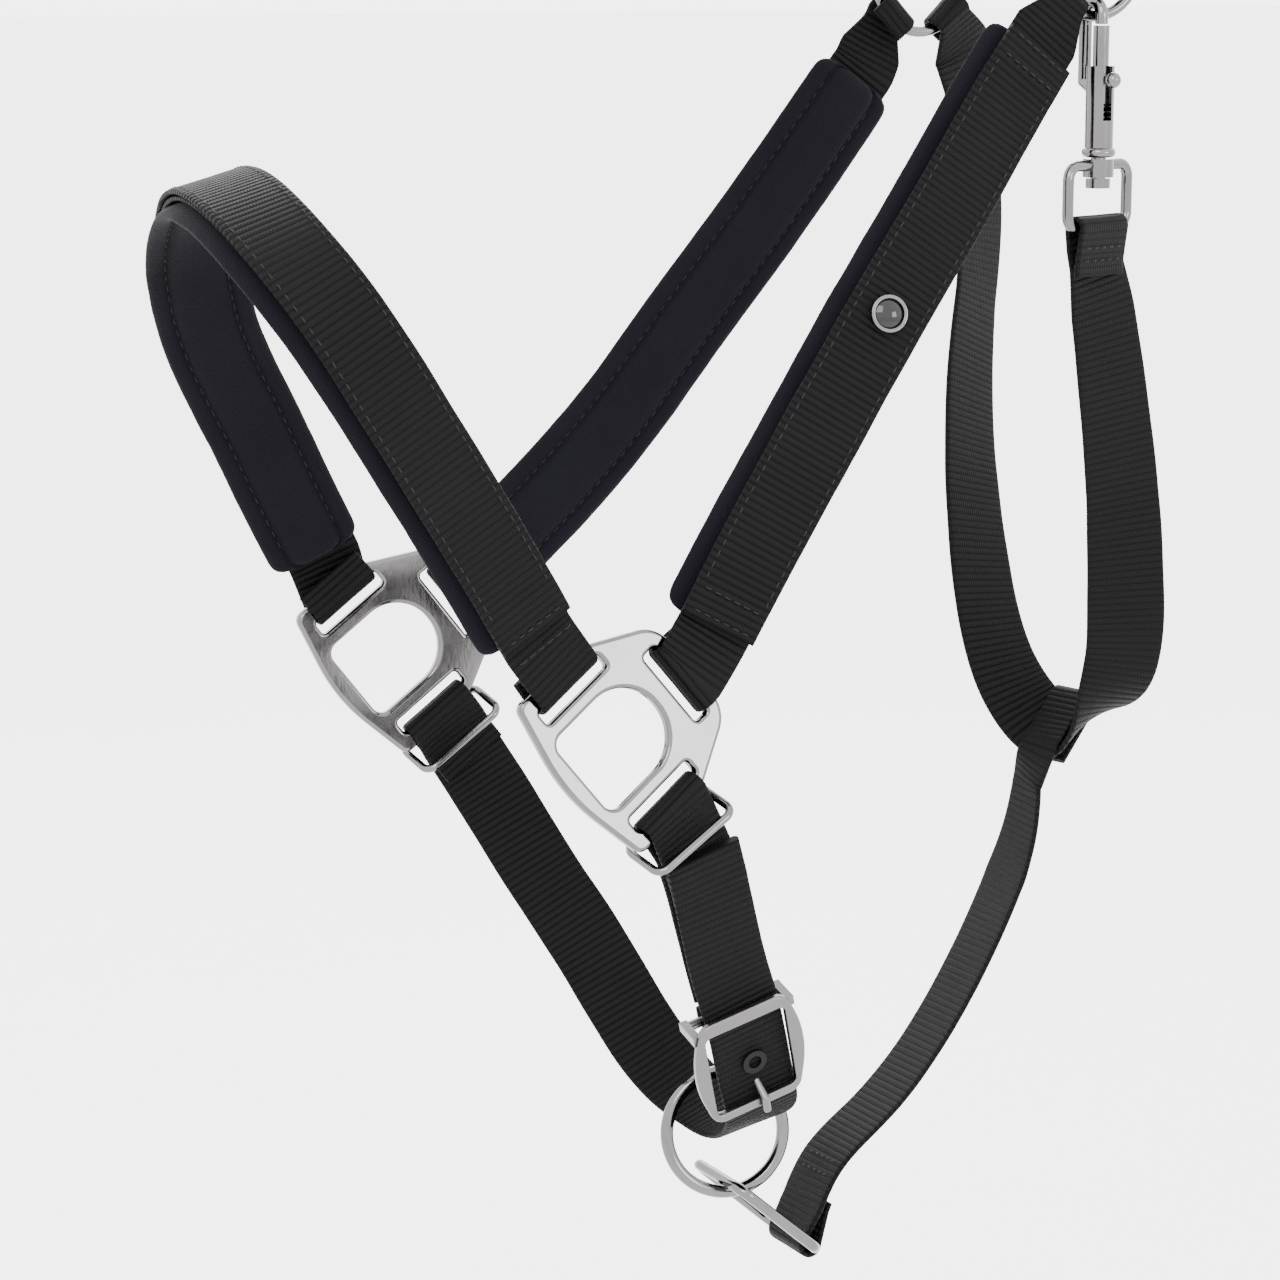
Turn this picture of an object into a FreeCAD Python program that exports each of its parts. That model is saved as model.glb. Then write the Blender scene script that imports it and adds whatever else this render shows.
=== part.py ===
import FreeCAD, Part
import Sketcher
import math
import os

# Headcollar (head-collar, halter) for a horse: webbing straps with padded noseband, cheeks and
# crown, two cast side plates, rings, sliders, two buckles and a swivel bolt snap.
# Frame: the horse faces -X, its left (near) side is -Y, +Z is up. The origin is the middle of the
# underside of the crown pad, where the headcollar rests behind the ears. Millimetres.

V = FreeCAD.Vector
doc = FreeCAD.newDocument("headcollar")

# ---------------------------------------------------------------- driving dimensions
DIMENSIONS = [
    ("webbing_width", 25.0),
    ("webbing_thick", 1.8),
    ("core_width", 24.0),
    ("narrow_width", 14.0),
    ("pad_width", 31.0),
    ("pad_thick", 5.0),
    ("pad_side", 1.5),
    ("crown_pad_width", 34.0),
    ("layer_gap", 0.35),
    ("plate_width", 59.0),
    ("plate_top", 32.8),
    ("plate_thick", 4.0),
    ("plate_round", 1.3),
    ("slot_length", 26.0),
    ("slot_height", 5.0),
    ("side_slot", 21.4),
    ("top_slot", 25.2),
    ("window_width", 28.4),
    ("window_low", 16.3),
    ("ring_radius", 16.6),
    ("ring_wire", 3.5),
    ("lead_radius", 19.4),
    ("lead_wire", 4.2),
    ("link_width", 35.0),
    ("link_length", 42.0),
    ("link_wire", 3.6),
    ("near_slider_width", 33.0),
    ("near_slider_depth", 18.4),
    ("off_slider_width", 34.0),
    ("off_slider_depth", 17.8),
    ("slider_wire", 2.6),
    ("chin_frame_width", 40.4),
    ("chin_frame_height", 38.2),
    ("chin_window_width", 27.6),
    ("chin_frame_thick", 2.6),
    ("heel_bar", 3.2),
    ("crown_frame_width", 34.0),
    ("crown_frame_height", 27.0),
    ("crown_wire", 3.2),
    ("roller_outer", 6.0),
    ("tongue_wire", 2.6),
    ("hole_size", 4.4),
    ("eyelet_outer", 8.1),
    ("keeper_width", 30.6),
    ("keeper_deep", 17.8),
    ("keeper_wall", 1.7),
    ("keeper_length", 14.0),
    ("barrel", 8.8),
    ("barrel_length", 25.0),
    ("bolt", 5.0),
    ("bolt_travel", 6.0),
    ("hook_wire", 4.0),
    ("hook_reach", 4.25),
    ("eye_width", 33.0),
    ("eye_height", 22.5),
    ("eye_wire", 3.4),
    ("badge", 11.5),
    ("badge_high", 2.2),
]


def make_sheet():
    """Writes the driving dimensions into the sheet, one alias a row."""
    sheet = doc.addObject("Spreadsheet::Sheet", "sizes")
    for row, (name, value) in enumerate(DIMENSIONS, start=1):
        sheet.set("A%d" % row, name)
        sheet.set("B%d" % row, str(value))
        sheet.setAlias("B%d" % row, name)
    doc.recompute()
    return sheet


sheet = make_sheet()
parts = []


def size(name):
    """A driving dimension, read back from the sheet."""
    return float(getattr(sheet, name))


def place(obj, label, placement=None):
    """Names a sub-part and puts it in its place."""
    obj.Label = label
    if placement is not None:
        obj.Placement = placement
    parts.append(obj)
    return obj


def axes(centre, x_axis, y_axis):
    """A placement from a centre and two directions; the second is squared up to the first."""
    x = V(*x_axis).normalize()
    y = V(*y_axis)
    y = (y - x * x.dot(y)).normalize()
    return FreeCAD.Placement(V(*centre), FreeCAD.Rotation(x, y, x.cross(y), "XYZ"))


# ---------------------------------------------------------------- ribbons: straps and pads
class Route:
    """A strap's middle line with the direction across it, both smooth along its length."""

    def __init__(self, points, acrosses):
        self.points = [V(*p) for p in points]
        self.acrosses = [V(*a).normalize() for a in acrosses]
        along = [0.0]
        for a, b in zip(self.points, self.points[1:]):
            along.append(along[-1] + (b - a).Length)
        self.length = along[-1]
        self.middle = Part.BSplineCurve()
        self.middle.interpolate(Points=self.points, Parameters=along)
        self.stations = along

    def frame(self, along, lift=0.0, shift=0.0):
        """Middle point and across direction at a distance along, lifted off the face."""
        tangent = self.middle.tangent(along)[0]
        at = 0
        while at < len(self.stations) - 2 and self.stations[at + 1] < along:
            at += 1
        part = (along - self.stations[at]) / (self.stations[at + 1] - self.stations[at])
        across = self.acrosses[at] * (1 - part) + self.acrosses[at + 1] * part
        across = (across - tangent * tangent.dot(across)).normalize()
        normal = tangent.cross(across)
        return self.middle.value(along) + normal * lift + across * shift, across

    def frames(self, start, end, lift=0.0, shift=0.0, step=9.0):
        """Evenly spaced frames from start to end."""
        count = max(2, int(round((end - start) / step)) + 1)
        gap = (end - start) / (count - 1)
        return [self.frame(start + gap * i, lift, shift) for i in range(count)]


def wrap(centre, across, away, out, radius, steps=6):
    """Frames half way round a bar, from its outer side to its inner side."""
    across = V(*across)
    frames = []
    for i in range(steps + 1):
        angle = math.pi / 2 - math.pi * i / steps
        point = centre + out * (radius * math.sin(angle)) - away * (radius * math.cos(angle))
        frames.append((point, across))
    return frames


def straight_patch(a, b, c, d):
    """A four-cornered face whose sides are all straight."""
    patch = Part.BezierSurface()
    patch.setPole(1, 1, a)
    patch.setPole(1, 2, b)
    patch.setPole(2, 1, c)
    patch.setPole(2, 2, d)
    return patch.toShape()


def ribbon(label, frames, width, thick, widths=None, bevel=0.0):
    """A closed strap ruled straight from section to section; widths may change along it."""
    sections = []
    last = len(frames) - 1
    for i, (point, across) in enumerate(frames):
        before = frames[max(0, i - 1)][0]
        after = frames[min(last, i + 1)][0]
        tangent = (after - before).normalize()
        across = (across - tangent * tangent.dot(across)).normalize()
        normal = tangent.cross(across)
        half = (widths[i] if widths else width) / 2
        deep = thick / 2
        corners = [(half, deep), (half, -deep), (-half, -deep), (-half, deep)]
        if bevel:
            corners = [
                (half - bevel, deep), (half, deep - bevel), (half, bevel - deep), (half - bevel, -deep),
                (bevel - half, -deep), (-half, bevel - deep), (-half, deep - bevel), (bevel - half, deep),
            ]
        sections.append([point + across * a + normal * b for a, b in corners])
    faces = []
    for here, there in zip(sections, sections[1:]):
        for k in range(len(here)):
            faces.append(straight_patch(here[k - 1], here[k], there[k - 1], there[k]))
    for end in (sections[0], sections[-1]):
        faces.append(Part.Face(Part.makePolygon(end + end[:1])))
    shell = Part.makeShell(faces)
    shell.sewShape()
    solid = Part.makeSolid(shell)
    if solid.Volume < 0:
        solid.reverse()
    feature = doc.addObject("Part::Feature", label)
    feature.Shape = solid
    return feature


def bar(placement, x, y):
    """Middle of a bar given in a plate's or frame's own plane."""
    return placement.multVec(V(x, y, 0))


def turned(placement, vector):
    """A direction given in a plate's or frame's own axes."""
    return placement.Rotation.multVec(V(*vector))


# ---------------------------------------------------------------- places
NEAR_PLATE = axes((-175, -65, -391), (0.60, -0.19, -0.78), (0.80, 0.10, 0.59))
OFF_PLATE = axes((-190, 65, -385), (0.59, -0.14, -0.79), (0.80, -0.05, 0.60))
NEAR_RING = axes((-3.4, -55, -165), (1, 0, 0), (0, 0, 1))
OFF_RING = axes((3, 55, -172), (1, 0, 0), (0, 0, 1))
LEAD_RING = axes((-112.4, -20, -534.8), (0.974, -0.225, 0), (0.05, 0.17, 0.98))
LINK = axes((-101, -21, -561.8), (0, 1, 0), (-0.75, 0, 0.66))
CHIN_BUCKLE = axes((-126, -61, -497), (0.951, -0.095, 0.294), (-0.335, -0.258, 0.907))
CROWN_BUCKLE = axes((-3, -63, -103), (1, 0, 0), (0, -0.08, 1))
NEAR_SLIDER = axes((-156.8, -70.4, -418.6), (0.84, 0.05, 0.54), (-0.30, 0.90, 0.30))
OFF_SLIDER = axes((-170.8, 60.4, -411.8), (0.80, -0.05, 0.60), (-0.30, 0.90, 0.30))
EYE = axes((-3.4, -59.25, -236.5), (0.95, 0.30, 0), (0, 0, 1))
SNAP = axes((-3.4, -59.25, -181.6), (1, 0, 0), (0, 1, 0))

HALF = size("webbing_thick") / 2
GAP = size("layer_gap")
SIDE_BAR = (size("plate_width") / 2 + size("side_slot") + size("slot_height") / 2) / 2
SIDE_WRAP = size("plate_width") / 2 - SIDE_BAR + GAP + HALF
TOP_BAR = (size("plate_top") + size("top_slot") + size("slot_height") / 2) / 2
TOP_WRAP = size("plate_top") - TOP_BAR + GAP + HALF
SLOT_MIDDLE = -0.5
HEEL_Y = 17.5
HEEL_BACK = -5.7
HEEL_WRAP = size("heel_bar") / 2 + GAP + HALF
CROWN_HEEL_Y = -(size("crown_frame_height") - size("crown_wire")) / 2
CROWN_TIP_Y = -CROWN_HEEL_Y


def ring_bar(ring, towards):
    """Where a strap's wrap sits on a round ring, in the direction given from its middle."""
    radius = size("ring_radius")
    half = size("narrow_width") / 2
    sagitta = radius - math.sqrt(radius * radius - half * half)
    return ring.Base + V(*towards).normalize() * (radius - sagitta / 2), sagitta / 2


def ring_wrap(sagitta):
    """Wrap radius that clears a round ring's wire over the strap's narrowed width."""
    return size("ring_wire") / 2 + sagitta + HALF + GAP + 0.35


# ---------------------------------------------------------------- strap routes, laid by hand
NOSE = Route(
    [(-208, 71.5, -357.5), (-220.5, 70, -333.5), (-235, 66.5, -305.5), (-251, 59, -275), (-260, 47, -252),
     (-267, 27, -235), (-272, 0, -229), (-273, -27, -233), (-270, -47, -243), (-262, -60, -258),
     (-245, -66, -286), (-227, -67, -315), (-209, -66, -344), (-199, -64, -360)],
    [(0.78, -0.22, 0.55), (0.81, -0.28, 0.48), (0.82, -0.28, 0.45), (0.78, -0.40, 0.38),
     (0.85, -0.32, 0.24), (0.93, -0.05, 0.25), (0.95, 0.05, 0.25), (0.93, 0.08, 0.33),
     (0.91, 0.05, 0.40), (0.91, 0.0, 0.42), (0.89, -0.05, 0.46), (0.89, -0.05, 0.46),
     (0.90, -0.02, 0.42), (0.86, 0.03, 0.50)],
)
NEAR_CHEEK = Route(
    [(-144, -64, -364), (-132, -66, -342), (-109, -67, -305), (-84, -66, -268), (-60, -63, -236),
     (-38, -60, -206), (-22, -57.5, -186)],
    [(-0.70, 0.16, 0.68), (-0.80, 0.26, 0.52), (-0.78, 0.33, 0.52), (-0.80, 0.28, 0.52),
     (-0.83, 0.22, 0.50), (-0.84, 0.16, 0.50), (-0.76, 0.06, 0.62)],
)
OFF_CHEEK = Route(
    [(-158, 64, -360), (-133, 66, -340), (-104, 67, -312), (-82, 67, -286), (-59, 65, -258),
     (-37, 62, -229), (-16, 58, -199)],
    [(0.62, -0.16, -0.76), (0.70, -0.16, -0.68), (0.78, -0.14, -0.60), (0.80, -0.14, -0.58),
     (0.80, -0.14, -0.58), (0.80, -0.12, -0.58), (0.74, -0.06, -0.66)],
)
CHIN = Route(
    [(-167, 62, -417), (-153, 60, -440), (-143, 51, -461), (-133, 39, -482), (-125, 23, -504),
     (-119, 6, -520), (-114, -12, -528), (-112, -30, -529), (-115, -46, -522),
     (-120.6, -56.9, -511.5), (-123.3, -58.9, -504.3), (-126, -61, -497), (-128.7, -63.1, -489.7),
     (-131.4, -65.1, -482.5), (-139.3, -68.9, -463), (-144.8, -71.6, -446), (-151.3, -74.2, -425.5)],
    [(0.80, -0.14, 0.58), (0.79, -0.25, 0.55), (0.80, -0.28, 0.53), (0.80, -0.28, 0.53),
     (0.84, -0.20, 0.46), (0.92, -0.12, 0.34), (0.96, -0.06, 0.24), (0.96, -0.10, 0.24),
     (0.96, -0.12, 0.25), (0.951, -0.095, 0.294), (0.951, -0.095, 0.294), (0.951, -0.095, 0.294),
     (0.951, -0.095, 0.294), (0.95, -0.10, 0.30), (0.93, -0.12, 0.34), (0.92, -0.10, 0.38),
     (0.90, -0.06, 0.43)],
)
BILLET = Route(
    [(-134, -61.7, -473.6), (-139, -64.7, -458), (-146, -67.8, -438), (-153, -69.8, -423)],
    [(-0.95, 0.10, -0.30), (-0.94, 0.11, -0.33), (-0.90, 0.07, -0.42), (-0.85, -0.02, -0.53)],
)
GULLET = Route(
    [(-84.5, -21, -565), (-76, -20, -551), (-58, -20, -536), (-38, -20, -516), (-22, -20, -493),
     (-8, -20, -467), (-1, -21, -446), (0.6, -22, -431)],
    [(0.02, 1, 0), (0.02, 1, 0), (0.05, 1, 0), (0.08, 1, 0), (0.08, 1, 0), (0.08, 1, 0), (0.04, 1, 0),
     (0, 1, 0)],
)
THROAT = Route(
    [(20, 57, -191), (25, 57, -208), (27, 55, -229), (27, 52, -252), (23, 48, -277), (16, 40, -303),
     (10, 30, -328), (5, 16, -361), (4, 4, -388), (7, -9, -407), (12, -22, -415), (17, -35, -408),
     (20, -45, -391), (18, -50, -366), (13, -54, -334), (7, -56, -301), (1.5, -56.5, -272),
     (-2, -56.8, -256)],
    [(0.80, 0.10, 0.55), (0.95, 0.26, 0.12), (0.92, 0.36, -0.15), (0.90, 0.37, -0.22),
     (0.87, 0.39, -0.29), (0.92, 0.33, -0.20), (0.95, 0.27, -0.13), (0.99, 0.16, 0.03),
     (0.94, 0.14, 0.28), (0.82, 0.10, 0.52), (0.76, 0.02, 0.64), (0.80, -0.18, 0.52),
     (0.90, -0.38, 0.18), (0.89, -0.45, 0.0), (0.98, -0.19, 0.0), (1.0, -0.05, -0.03),
     (0.99, 0.08, -0.05), (0.95, 0.28, 0.0)],
)
CROWN = Route(
    [(3, 57, -146), (3, 64, -115), (2, 69, -78), (1, 66, -42), (0.5, 50, -10), (0, 26, 3.1),
     (0, 0, 6.25), (0, -26, 3.1), (-1, -50, -10), (-2, -65, -40), (-3, -67, -68),
     (-3, -59.6, -91), (-3, -67.4, -115), (-3, -66, -133), (-3, -64.5, -146)],
    [(1, 0, 0)] * 15,
)
THROAT_LOOP = 248.4


# ---------------------------------------------------------------- padded straps
def looped_start(route, bar_at, across, away, out, radius, flap):
    """Frames of a sewn-back end round a bar, before a route begins."""
    back = wrap(bar_at, across, away, out, radius)[::-1]
    tail = back[0][0] + away * flap + out * (radius - HALF - GAP / 2 - 0.1) * min(1.0, flap / 12)
    return [(tail, V(*across))] + back


def looped_end(bar_at, across, away, out, radius, flap):
    """Frames of a sewn-back end round a bar, after a route ends."""
    turn = wrap(bar_at, across, away, out, radius)
    tail = turn[-1][0] + away * flap + out * (radius - HALF - GAP / 2 - 0.1) * min(1.0, flap / 12)
    return turn + [(tail, V(*across))]


def make_noseband():
    """Core strap looped on both plates' front slots, its cover strap and its pad."""
    width = size("core_width")
    thick = size("webbing_thick")
    off_bar = bar(OFF_PLATE, -SIDE_BAR, SLOT_MIDDLE)
    near_bar = bar(NEAR_PLATE, -SIDE_BAR, SLOT_MIDDLE)
    off_away = turned(OFF_PLATE, (-1, 0, 0))
    near_away = turned(NEAR_PLATE, (-1, 0, 0))
    frames = looped_start(NOSE, off_bar, turned(OFF_PLATE, (0, 1, 0)), off_away,
                          turned(OFF_PLATE, (0, 0, -1)), SIDE_WRAP, 7)
    frames += NOSE.frames(4, NOSE.length - 2)
    frames += looped_end(near_bar, turned(NEAR_PLATE, (0, 1, 0)), near_away,
                         turned(NEAR_PLATE, (0, 0, 1)), SIDE_WRAP, 7)
    place(ribbon("noseband_core", frames, width, thick), "noseband_core")
    sandwich("noseband", NOSE, 8, NOSE.length - 6, -1)


def sandwich(name, route, start, end, pad_side):
    """The cover strap outside a core and the pad inside it."""
    thick = size("webbing_thick")
    lift = thick + GAP
    cover = route.frames(start, end, lift)
    place(ribbon(name + "_cover", cover, size("webbing_width"), thick), name + "_cover")
    drop = HALF + GAP + size("pad_thick") / 2
    pad = route.frames(start - 1, end + 1, -drop, pad_side * size("pad_side"))
    shape = ribbon(name + "_pad", pad, size("pad_width"), size("pad_thick"), bevel=1.6)
    place(shape, name + "_pad")


def make_cheek(name, route, plate, ring, across_sign, out_sign):
    """Cheek strap: core looped on the plate's top slot and on the top ring, cover and pad."""
    away = turned(plate, (0, 1, 0))
    across = turned(plate, (across_sign, 0, 0))
    out = turned(plate, (0, 0, out_sign))
    frames = looped_start(route, bar(plate, 0, TOP_BAR), across, away, out, TOP_WRAP, 7)
    frames += route.frames(3, route.length - 1)
    narrow = len(frames) - 2
    towards = (-0.72, 0, -0.69)
    ring_at, sagitta = ring_bar(ring, towards)
    tangent = V(0.69, 0, -0.72) * across_sign
    ring_out = V(0, 1 if across_sign > 0 else -1, 0)
    frames += looped_end(ring_at, tangent, V(*towards).normalize(), ring_out, ring_wrap(sagitta), 5)
    full = size("core_width")
    slim = size("narrow_width")
    widths = [full] * narrow + [(full + slim) / 2] + [slim] * (len(frames) - narrow - 1)
    core = ribbon(name + "_core", frames, full, size("webbing_thick"), widths)
    place(core, name + "_core")
    sandwich(name, route, 5, route.length - 7, 1 if across_sign < 0 else -1)


def make_badge():
    """Plain round stud on the near cheek: a rim and a domed middle."""
    point, across = NEAR_CHEEK.frame(112, size("webbing_thick") + GAP + HALF + 0.25)
    tangent = NEAR_CHEEK.middle.tangent(112)[0]
    seat = FreeCAD.Placement(point, FreeCAD.Rotation(tangent, across, tangent.cross(across), "XYZ"))
    rim = doc.addObject("PartDesign::Body", "badge_rim")
    sketch = sketch_on(rim, "XY_Plane")
    circle(sketch, "badge / 2")
    circle(sketch, "badge / 2 - 1.2")
    pad = pad_up(rim, sketch, "badge_high * 0.8", False)
    round_edges(rim, pad, "0.35")
    place(rim, "badge_rim", seat)
    ball = doc.addObject("Part::Sphere", "badge_ball")
    ball.setExpression("Radius", "sizes.badge * 0.75")
    ball.setExpression("Placement.Base.z", "-sizes.badge * 0.75 + sizes.badge_high")
    inside = doc.addObject("Part::Cylinder", "badge_inside")
    inside.setExpression("Radius", "sizes.badge / 2 - 1.25")
    inside.setExpression("Height", "sizes.badge_high * 2")
    dome = doc.addObject("Part::Common", "badge_dome_shape")
    dome.Base = ball
    dome.Tool = inside
    place(dome, "badge_dome", seat)


# ---------------------------------------------------------------- drawn parts
def sketch_on(body, role):
    """A sketch on one of a body's own origin planes."""
    sketch = body.newObject("Sketcher::SketchObject", body.Name + "_sketch")
    plane = [f for f in body.Origin.OriginFeatures if f.Role == role][0]
    sketch.AttachmentSupport = (plane, [""])
    sketch.MapMode = "FlatFace"
    return sketch


def circle(sketch, radius, x=0.0, y=0.0):
    """A circle whose radius follows the sheet."""
    index = sketch.addGeometry(Part.Circle(V(x, y, 0), V(0, 0, 1), 3.0))
    number = sketch.addConstraint(Sketcher.Constraint("Radius", index, 3.0))
    sketch.setExpression("Constraints[%d]" % number, in_sheet(radius))
    return index


def in_sheet(text):
    """An expression over the driving dimensions."""
    words = []
    for word in text.split():
        known = word.strip("()-")
        if known.isidentifier() and hasattr(sheet, known):
            word = word.replace(known, "sizes." + known)
        words.append(word)
    return " ".join(words)


def outline(sketch, corners, radii):
    """A closed outline of straight sides with rounded corners."""
    count = len(corners)
    lines = []
    for i in range(count):
        here = V(*corners[i], 0)
        before = (V(*corners[i - 1], 0) - here).normalize()
        after = (V(*corners[(i + 1) % count], 0) - here).normalize()
        half = math.acos(max(-1.0, min(1.0, before.dot(after)))) / 2
        cut = radii[i] / math.tan(half)
        middle = here + (before + after).normalize() * (radii[i] / math.sin(half) - radii[i])
        lines.append((here + before * cut, middle, here + after * cut))
    for i in range(count):
        start, middle, end = lines[i]
        sketch.addGeometry(Part.Arc(start, middle, end))
        sketch.addGeometry(Part.LineSegment(end, lines[(i + 1) % count][0]))


def pad_up(body, sketch, length, both=True):
    """Pads a sketch by a length that follows the sheet."""
    pad = body.newObject("PartDesign::Pad", body.Name + "_pad")
    pad.Profile = sketch
    pad.Midplane = both
    pad.setExpression("Length", in_sheet(length))
    sketch.Visibility = False
    doc.recompute()
    return pad


def round_edges(body, feature, radius, pick=None):
    """Fillets the edges of a feature that pick accepts."""
    names = []
    for i, edge in enumerate(feature.Shape.Edges, start=1):
        if pick is None or pick(edge):
            names.append("Edge%d" % i)
    fillet = body.newObject("PartDesign::Fillet", body.Name + "_fillet")
    fillet.Base = (feature, names)
    fillet.setExpression("Radius", in_sheet(radius))
    doc.recompute()
    return fillet


def lies_flat(edge):
    """True for an edge that stays at one height, such as a face's outline."""
    box = edge.BoundBox
    return box.ZLength < 1e-6


def make_plate(label, where):
    """Cast side plate: three strap slots round a D-shaped window, edges rounded."""
    body = doc.addObject("PartDesign::Body", label)
    half = size("plate_width") / 2
    top = size("plate_top")
    low = -size("window_low") - 7.5
    sketch = sketch_on(body, "XY_Plane")
    outline(sketch, [(-half, -17.5), (0, low), (half, -17.5), (half, 9), (17, top), (-17, top), (-half, 9)],
            [3.5, 60.0, 3.5, 18.0, 11.0, 11.0, 18.0])
    window = size("window_width") / 2
    bottom = -size("window_low")
    outline(sketch, [(-window, bottom), (window, bottom), (window, 16.4), (-window, 16.4)],
            [4.0, 4.0, window - 0.5, window - 0.5])
    side = size("side_slot")
    tall = size("slot_height") / 2
    long = size("slot_length") / 2
    for x in (-side, side):
        outline(sketch, [(x - tall, SLOT_MIDDLE - long), (x + tall, SLOT_MIDDLE - long),
                         (x + tall, SLOT_MIDDLE + long), (x - tall, SLOT_MIDDLE + long)], [1.4] * 4)
    y = size("top_slot")
    outline(sketch, [(-long, y - tall), (long, y - tall), (long, y + tall), (-long, y + tall)], [1.4] * 4)
    pad = pad_up(body, sketch, "plate_thick")
    round_edges(body, pad, "plate_round", lies_flat)
    place(body, label, where)


def wire_frame(label, width, height, wire, corner, where):
    """A closed wire frame: a rounded rectangle with fully rounded edges."""
    body = doc.addObject("PartDesign::Body", label)
    sketch = sketch_on(body, "XY_Plane")
    a = size(width) / 2
    b = size(height) / 2
    w = size(wire)
    outline(sketch, [(-a, -b), (a, -b), (a, b), (-a, b)], [corner + w] * 4)
    outline(sketch, [(w - a, w - b), (a - w, w - b), (a - w, b - w), (w - a, b - w)], [corner] * 4)
    pad = pad_up(body, sketch, wire)
    round_edges(body, pad, wire + " * 0.46", lies_flat)
    if where is not None:
        place(body, label, where)
    return body


def make_rings():
    """The two top rings and the lead ring."""
    for label, where, radius, wire in (
        ("near_top_ring", NEAR_RING, "ring_radius", "ring_wire"),
        ("off_top_ring", OFF_RING, "ring_radius", "ring_wire"),
        ("lead_ring", LEAD_RING, "lead_radius", "lead_wire"),
    ):
        ring = doc.addObject("Part::Torus", label)
        ring.setExpression("Radius1", in_sheet(radius))
        ring.setExpression("Radius2", in_sheet(wire + " / 2"))
        place(ring, label, where)


def primitive(kind, at=(0, 0, 0), turn=(0, 0, 1, 0), **bound):
    """A Part primitive with its sizes bound to the sheet."""
    obj = doc.addObject(kind, "piece")
    for key, text in bound.items():
        obj.setExpression(key, in_sheet(text))
    obj.Placement = FreeCAD.Placement(V(*at), FreeCAD.Rotation(V(*turn[:3]), turn[3]))
    return obj


def fuse(name, shapes):
    """Several shapes as one solid."""
    joined = doc.addObject("Part::MultiFuse", name)
    joined.Shapes = shapes
    joined.Refine = True
    return joined


def cut(name, base, tool):
    """A shape with another taken away."""
    less = doc.addObject("Part::Cut", name)
    less.Base = base
    less.Tool = tool
    return less


def punch(feature, where, along_x, along_y):
    """Cuts a straight hole with rounded size through a strap's shape at a place."""
    hole = Part.makeBox(along_x, along_y, 12, V(-along_x / 2, -along_y / 2, -6))
    hole.Placement = where
    feature.Shape = feature.Shape.cut(hole)


def punch_round(feature, where):
    """Cuts a round eyelet hole through a strap's shape."""
    hole = Part.makeCylinder(size("hole_size") / 2, 12, V(0, 0, -6))
    hole.Placement = where
    feature.Shape = feature.Shape.cut(hole)


def eyelet_ring():
    """A flat metal eyelet ring, made about its own axis."""
    outer = primitive("Part::Cylinder", Radius="eyelet_outer / 2", Height="webbing_thick / 2")
    inner = primitive("Part::Cylinder", Radius="hole_size / 2", Height="webbing_thick / 2")
    return cut("eyelet", outer, inner)


def off_place(where, x=0.0, y=0.0, z=0.0):
    """A placement moved in its own axes."""
    return FreeCAD.Placement(where.multVec(V(x, y, z)), where.Rotation)


# ---------------------------------------------------------------- chin: strap, billet, buckle
def make_chin():
    """Chin strap from the off plate under the jaw and up through the chin buckle."""
    width = size("webbing_width")
    thick = size("webbing_thick")
    frames = looped_start(CHIN, bar(OFF_PLATE, SIDE_BAR, SLOT_MIDDLE), turned(OFF_PLATE, (0, 1, 0)),
                          turned(OFF_PLATE, (1, 0, 0)), turned(OFF_PLATE, (0, 0, 1)), SIDE_WRAP, 20)
    looped = len(frames)
    frames += CHIN.frames(2, CHIN.length, step=7.0)
    widths = [size("core_width")] * looped + [width] * (len(frames) - looped)
    strap = ribbon("chin_strap", frames, width, thick, widths)
    punch_round(strap, CHIN_BUCKLE)
    punch(strap, off_place(CHIN_BUCKLE, 0, -8.4), 4.0, 6.4)
    place(strap, "chin_strap")
    ring = eyelet_ring()
    place(ring, "chin_eyelet", off_place(CHIN_BUCKLE, 0, 0, HALF + 0.1))
    make_billet()
    make_chin_buckle()


def make_billet():
    """Short doubled strap that joins the near plate to the chin buckle's heel bar."""
    heel = CHIN_BUCKLE.multVec(V(0, HEEL_Y, HEEL_BACK))
    across = turned(CHIN_BUCKLE, (-1, 0, 0))
    away = turned(CHIN_BUCKLE, (0, 1, 0))
    out = turned(CHIN_BUCKLE, (0, 0, 1))
    bend = wrap(heel, across, away, out, HEEL_WRAP)[::-1]
    frames = [(bend[0][0] + away * 3, across)] + bend
    lift = HALF + GAP + 0.2
    frames += BILLET.frames(1, BILLET.length, lift)
    frames += wrap(bar(NEAR_PLATE, SIDE_BAR, SLOT_MIDDLE), turned(NEAR_PLATE, (0, -1, 0)),
                   turned(NEAR_PLATE, (1, 0, 0)), turned(NEAR_PLATE, (0, 0, 1)), SIDE_WRAP)
    count = 9
    for i in range(count, -1, -1):
        part = i / count
        frames.append(BILLET.frame(BILLET.length * part, -lift - 3.0 * math.sin(math.pi * part)))
    strap = ribbon("chin_billet", frames, size("core_width"), size("webbing_thick"))
    punch(strap, off_place(CHIN_BUCKLE, 0, HEEL_Y - 3, HEEL_BACK), 4.6, 16)
    place(strap, "chin_billet")


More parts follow.
